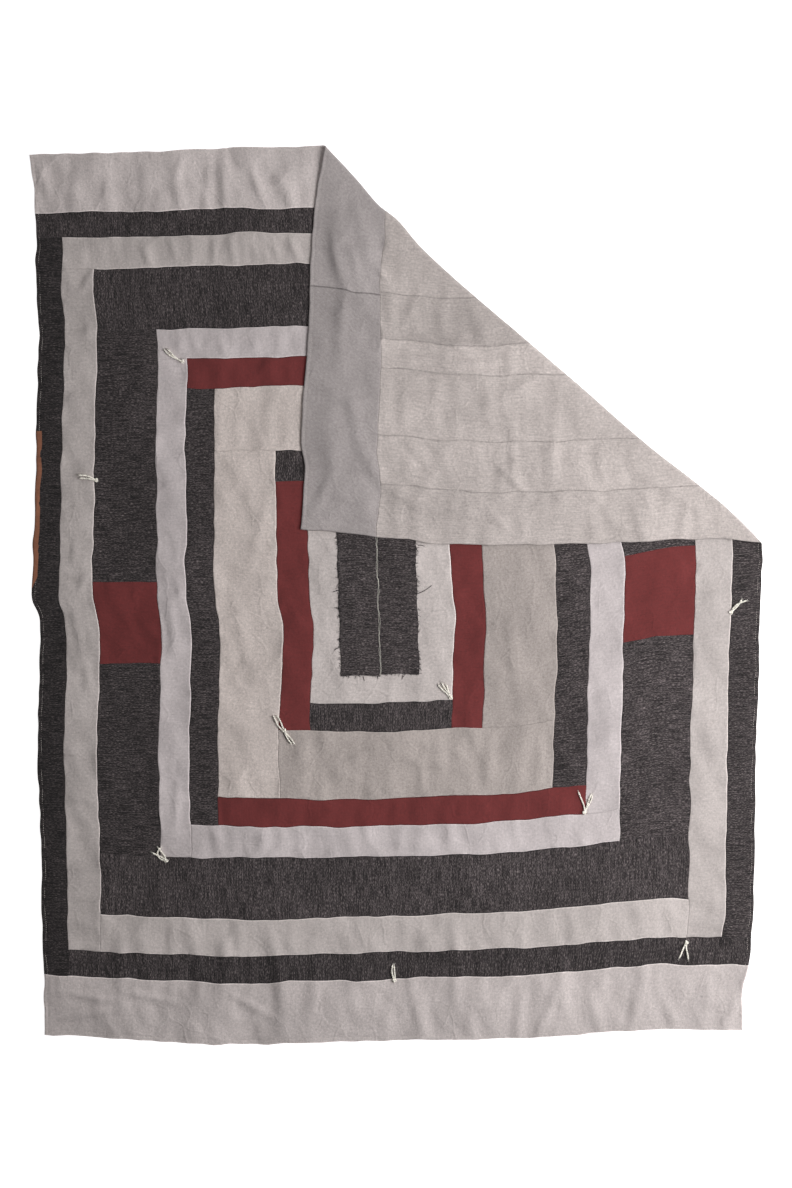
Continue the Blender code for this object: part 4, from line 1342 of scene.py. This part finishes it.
class QUILT_OT_stage(bpy.types.Operator):
    """Makes the camera, the pale floor and the studio light"""

    bl_idname = "quilt.stage"
    bl_label = "Stage"

    def execute(self, context):
        scene = context.scene
        camera = bpy.data.objects.new("camera", bpy.data.cameras.new("camera"))
        camera.data.lens = LENS
        camera.data.sensor_width = SENSOR
        camera.data.clip_end = 100.0
        camera.location = (0.0, 0.0, TOP_SURFACE + FRAME_HEIGHT * LENS / SENSOR)
        scene.collection.objects.link(camera)
        scene.camera = camera
        scene.view_settings.view_transform = "Standard"

        bm = bmesh.new()
        bmesh.ops.create_grid(bm, x_segments=1, y_segments=1, size=FLOOR_HALF)
        bmesh.ops.translate(bm, vec=(0.0, 0.0, -FLOOR_DROP), verts=bm.verts[:])
        mesh = mesh_of(bm, "floor")
        # White paper on a lit table. It is clear from below, so that the back of the
        # quilt shows from there.
        material, tree, shader = new_material("white_paper", WHITE_PAPER)
        clear = add_node(tree, "ShaderNodeBsdfTransparent").outputs[0]
        behind = add_node(tree, "ShaderNodeNewGeometry").outputs["Backfacing"]
        seen = add_node(
            tree, "ShaderNodeMixShader", links={0: behind, 1: shader.outputs[0], 2: clear}
        )
        output = next(node for node in tree.nodes if node.type == "OUTPUT_MATERIAL")
        tree.links.new(seen.outputs[0], output.inputs["Surface"])
        mesh.materials.append(material)
        floor = bpy.data.objects.new("floor", mesh)
        scene.collection.objects.link(floor)

        for row in LAMPS:
            light = bpy.data.lights.new(row.name, "AREA")
            light.shape = "SQUARE"
            light.size = row.size
            light.energy = row.power
            lamp = bpy.data.objects.new(row.name, light)
            lamp.location = row.place
            lamp.rotation_euler = Vector(row.place).to_track_quat("Z", "Y").to_euler()
            lamp.visible_camera = False
            scene.collection.objects.link(lamp)
        world = bpy.data.worlds.new("studio")
        world.use_nodes = True
        background = world.node_tree.nodes["Background"]
        background.inputs["Color"].default_value = WHITE
        background.inputs["Strength"].default_value = WORLD_STRENGTH
        scene.world = world
        return {"FINISHED"}


class QUILT_OT_back(bpy.types.Operator):
    """Makes the pieced back: a grey band and ten pale panels"""

    bl_idname = "quilt.back"
    bl_label = "Pieced back"

    def execute(self, context):
        sizes = context.scene.quilt_sizes
        for index, (cut, tint_and_light) in enumerate(back_cuts(sizes), BACK_SEED):
            # Each piece's factor is its cloth's tone with painted light and shade.
            finish = woven_cloth(cut.cloth, tint_and_light)
            make_cut(sizes, cut, -1, index, finish, "quilt_back")
        return {"FINISHED"}


class QUILT_OT_top(bpy.types.Operator):
    """Makes the pieced top: strips in rounds about the middle"""

    bl_idname = "quilt.top"
    bl_label = "Pieced top"

    def execute(self, context):
        sizes = context.scene.quilt_sizes
        finishes = {}
        for index, cut in enumerate(top_cuts(sizes)):
            strip = "_".join(cut.name.split("_")[:2])
            # Each strip's factor is its cloth's tone with painted light and shade.
            kind = (cut.cloth, 1.0 if cut.cloth == "brick" else TINTS_AND_PAINTED_LIGHT.get(strip, 1.0))
            if kind not in finishes:
                finishes[kind] = woven_cloth(*kind)
            make_cut(sizes, cut, 1, index, finishes[kind], "quilt_top")
        return {"FINISHED"}


def patch_place(across, along):
    """Plan places of spots on the patch, with the waver of its raw edges."""
    waver = PATCH_WOBBLE * np.sin(2 * math.pi * along / PATCH_WOBBLE_PITCH)
    lean = PATCH_WOBBLE * np.cos(2 * math.pi * across / PATCH_WOBBLE_PITCH)
    ragged = sum(rise * np.sin(along / length) for rise, length in PATCH_RAGS)
    askew = PATCH_LEAN * (PATCH_LEAN_FROM - along)
    return np.column_stack((across + waver + ragged + askew, along + lean))


def make_patch_strip(name, left, right, bottom, seed, finish):
    """One strip of the patch, between its left and right sides."""
    stops_across = row_stops(left, right, PATCH_CELL, PATCH_LIP, PATCH_LIP)
    stops_along = row_stops(bottom, PATCH_TOP, PATCH_CELL, PATCH_LIP, PATCH_LIP)
    mesh = closed_grid(stops_across, stops_along, patch_place, 1, False)
    points = coordinates(mesh)
    across, along = cloth_places(mesh)
    distance = np.minimum(across - left, right - across)
    level = PATCH_PUCKER * pucker(along, (across - left) / (right - left), distance, seed)
    level = np.maximum(level, -PUCKER_DIP)
    level = level - PATCH_EDGE_DROP * (1 - smooth(distance / PATCH_EDGE_REACH))
    base = OUTER_HEIGHT + LAYER_GAP
    height = np.where(points[:, 2] > 0.5, base + PATCH_THICKNESS + level, base)
    move_points(mesh, laid(points[:, :2], height))
    # The material paints shade beside the patch's left and right raw edges.
    keep_cloth_coordinates(mesh, along, across, distance)
    piece = new_piece(name, mesh, finish, "centre_patch")


def seam_thread_paths(rng):
    """Paths of the pale threads that show in the patch's seam."""
    y = np.linspace(PATCH_BOTTOM, PATCH_TOP, SEAM_THREAD_POINTS)
    paths = []
    for offset in SEAM_THREADS:
        sway = SEAM_SWAY * np.sin(y / SEAM_SWAY_LENGTH + offset * SEAM_SWAY_SHIFT)
        sway = sway + rng.normal(0, SEAM_SCATTER, SEAM_THREAD_POINTS)
        place = patch_place(PATCH_SEAM + offset + sway, y)
        flat = np.column_stack((place, np.full(SEAM_THREAD_POINTS, SEAM_THREAD_LIFT)))
        paths.append(outer_level(flat, LAYER_GAP + PATCH_THICKNESS))
    return np.array(paths)


def frayed_paths(rng, count):
    """Paths of the loose threads round the patch: dark ones, then pale ones."""
    sides = (
        (PATCH_LEFT, PATCH_BOTTOM, PATCH_LEFT, PATCH_TOP, 180),
        (PATCH_RIGHT, PATCH_BOTTOM, PATCH_RIGHT, PATCH_TOP, 0),
        (PATCH_LEFT, PATCH_BOTTOM, PATCH_RIGHT, PATCH_BOTTOM, -90),
        (PATCH_LEFT, PATCH_TOP, PATCH_RIGHT, PATCH_TOP, 90),
    )
    shares = np.linspace(0, 1, FRAY_POINTS)
    shown = ([], [])
    for number in range(count):
        x0, y0, x1, y1, outward = sides[FRAY_ORDER[number % len(FRAY_ORDER)]]
        where = rng.uniform(0.0, 1.0)
        across, along = x0 + (x1 - x0) * where, y0 + (y1 - y0) * where
        if across > PATCH_SEAM:
            along = max(along, PATCH_BOTTOM + PATCH_STEP)
        start = patch_place(across, along)[0]
        heading = math.radians(outward + rng.normal(0, FRAY_SCATTER))
        turn = heading + rng.normal(0, FRAY_CURL) * shares
        start = start - FRAY_ROOT * np.array((math.cos(heading), math.sin(heading)))
        flat = curved_path(start, turn, rng.uniform(*FRAY_LENGTHS) * MM)
        fall = np.linspace(FRAY_START, FRAY_END, FRAY_POINTS)
        path = outer_level(np.column_stack((flat, fall)), LAYER_GAP)
        shown[rng.uniform() < FRAY_PALE_SHARE].append(path)
    for row in LONG_THREADS:
        turn = np.radians(row.heading + row.bend * shares)
        flat = curved_path((row.x, row.y), turn, row.length)
        fall = np.linspace(FRAY_START, LONG_THREAD_END, FRAY_POINTS)
        shown[row.pale].append(outer_level(np.column_stack((flat, fall)), LAYER_GAP))
    return shown


class QUILT_OT_patch(bpy.types.Operator):
    """Makes the raw-edged centre patch with its seam and frayed threads"""

    bl_idname = "quilt.patch"
    bl_label = "Centre patch"

    def execute(self, context):
        sizes = context.scene.quilt_sizes
        colours = context.scene.quilt_colours
        # The patch's factor is its cloth's tone with painted light and shade.
        finish = woven_cloth("chambray", TINTS_AND_PAINTED_LIGHT["patch"])
        gap = sizes.seam_gap / 2
        for index, (name, left, right, step) in enumerate(
            (
                ("patch_left_strip", PATCH_LEFT, PATCH_SEAM - gap, 0.0),
                ("patch_right_strip", PATCH_SEAM + gap, PATCH_RIGHT, PATCH_STEP),
            )
        ):
            make_patch_strip(name, left, right, PATCH_BOTTOM + step, PATCH_SEED + index, finish)

        rng = np.random.default_rng(FRAY_SEED)
        paths = seam_thread_paths(rng)
        radii = np.full(paths.shape[:2], SEAM_THREAD_RADIUS)
        finish = yarn_finish("pale_seam_thread", colours.cream, 0.35, 9 * MM)
        mesh = strand_mesh(paths, radii, sides=5)
        new_piece("patch_seam_thread", mesh, finish, "centre_patch")

        dark, pale = frayed_paths(rng, sizes.fray_threads)
        for is_pale, paths, name, colour in (
            (False, dark, "patch_dark_fray", colours.charcoal),
            (True, pale, "patch_pale_fray", colours.charcoal_fleck),
        ):
            radii = np.linspace(*FRAY_RADII, FRAY_POINTS) * np.ones((len(paths), 1))
            long = sum(row.pale == is_pale for row in LONG_THREADS)
            radii[len(paths) - long :] *= LONG_THREAD_GAIN
            finish = yarn_finish(f"{name}_thread", colour, 0.3, 6 * MM)
            mesh = strand_mesh(np.array(paths), radii, sides=4)
            new_piece(name, mesh, finish, "centre_patch")
        return {"FINISHED"}


def make_selvedge(sizes):
    """The narrow strip of rust cloth that shows beside the left edge."""
    lip = SELVEDGE_LIP
    stops_across = row_stops(0.0, SELVEDGE_WIDTH, 2 * MM, lip, lip)
    stops_along = row_stops(SELVEDGE_START, SELVEDGE_END, 4 * MM, lip, lip)

    def to_plan(across, along):
        full = smooth((along - SELVEDGE_START) / SELVEDGE_TAPER)
        inner = across * (SELVEDGE_TIP_SHARE + (1 - SELVEDGE_TIP_SHARE) * full)
        inner = inner + SELVEDGE_WAVER * np.sin(along / SELVEDGE_WAVER_LENGTH)
        return opened_out(sizes, np.maximum(inner, SELVEDGE_INSET), along)

    mesh = closed_grid(stops_across, stops_along, to_plan, 1, False)
    points = coordinates(mesh)
    across, along = cloth_places(mesh)
    edge = np.minimum(across, SELVEDGE_WIDTH - across)
    base = OUTER_HEIGHT + np.interp(across, HEM_LIP.distance, HEM_LIP.level)
    raised = SELVEDGE_CROWN * smooth(edge / SELVEDGE_CROWN_REACH) + SELVEDGE_LIFT
    height = np.where(points[:, 2] > 0.5, base + raised, base - SELVEDGE_SINK)
    move_points(mesh, laid(points[:, :2], height))
    # The material paints shade beside the strip's edges.
    keep_cloth_coordinates(mesh, along, across, edge)
    piece = new_piece("rust_selvedge", mesh, woven_cloth("rust"), "quilt_top")


class QUILT_OT_hem(bpy.types.Operator):
    """Makes the hem stitches on both faces and the rust strip at the left edge"""

    bl_idname = "quilt.hem"
    bl_label = "Hem stitches"

    def execute(self, context):
        sizes = context.scene.quilt_sizes
        colours = context.scene.quilt_colours
        finish = yarn_finish("hem_sewing_thread", colours.thread, 0.25, 5 * MM)
        spots, runs = hem_spots(sizes)
        radius = sizes.sewing_thread / 2
        for face, name, slot, node in (
            (1, "top_hem_stitches", "pieced_top", "quilt_top"),
            (-1, "back_hem_stitches", "pieced_back", "quilt_back"),
        ):
            mesh = stitch_mesh(sizes, spots, runs, face, sizes.stitch_length, radius)
            new_piece(name, mesh, finish, node)

        make_selvedge(sizes)
        run = np.arange(*OLIVE_RUN, OLIVE_PITCH)
        spots = np.column_stack((np.full(len(run), OLIVE_INSET), run))
        runs = np.tile(OLIVE_HEADING, (len(run), 1))
        mesh = stitch_mesh(sizes, spots, runs, 1, OLIVE_LENGTH, OLIVE_RADIUS)
        finish = yarn_finish("olive_selvedge_thread", colours.olive, 0.35, 4 * MM)
        new_piece("selvedge_stitches", mesh, finish, "quilt_top")
        return {"FINISHED"}


class QUILT_OT_ties(bpy.types.Operator):
    """Makes the nine yarn ties with their twisted and frayed ends"""

    bl_idname = "quilt.ties"
    bl_label = "Yarn ties"

    def execute(self, context):
        sizes = context.scene.quilt_sizes
        finish = yarn_finish("cream_cotton_yarn", context.scene.quilt_colours.cream, 0.12, 2 * MM)
        for index, knot in enumerate(KNOTS):
            mesh = joined(tie_meshes(sizes, knot, index))
            new_piece(f"yarn_{knot.name}", mesh, finish, knot.name)
        return {"FINISHED"}


class QUILT_PT_panel(bpy.types.Panel):
    """Lists the makers of the quilt's pieces"""

    bl_idname = "QUILT_PT_panel"
    bl_label = "Pieced throw quilt"
    bl_space_type = "VIEW_3D"
    bl_region_type = "UI"
    bl_category = "Quilt"

    def draw(self, context):
        for operator in OPERATORS:
            self.layout.operator(operator.bl_idname)
        for group in (context.scene.quilt_sizes, context.scene.quilt_colours):
            for name in group.__annotations__:
                self.layout.prop(group, name)


OPERATORS = (
    QUILT_OT_stage,
    QUILT_OT_back,
    QUILT_OT_top,
    QUILT_OT_patch,
    QUILT_OT_hem,
    QUILT_OT_ties,
)
CLASSES = (QuiltSizes, QuiltColours, *OPERATORS, QUILT_PT_panel)


def register():
    for item in CLASSES:
        bpy.utils.register_class(item)
    bpy.types.Scene.quilt_sizes = PointerProperty(type=QuiltSizes)
    bpy.types.Scene.quilt_colours = PointerProperty(type=QuiltColours)


def unregister():
    del bpy.types.Scene.quilt_colours
    del bpy.types.Scene.quilt_sizes
    for item in reversed(CLASSES):
        bpy.utils.unregister_class(item)


def main():
    register()
    bpy.ops.quilt.stage()
    bpy.ops.quilt.back()
    bpy.ops.quilt.top()
    bpy.ops.quilt.patch()
    bpy.ops.quilt.hem()
    bpy.ops.quilt.ties()


if __name__ == "__main__":
    main()
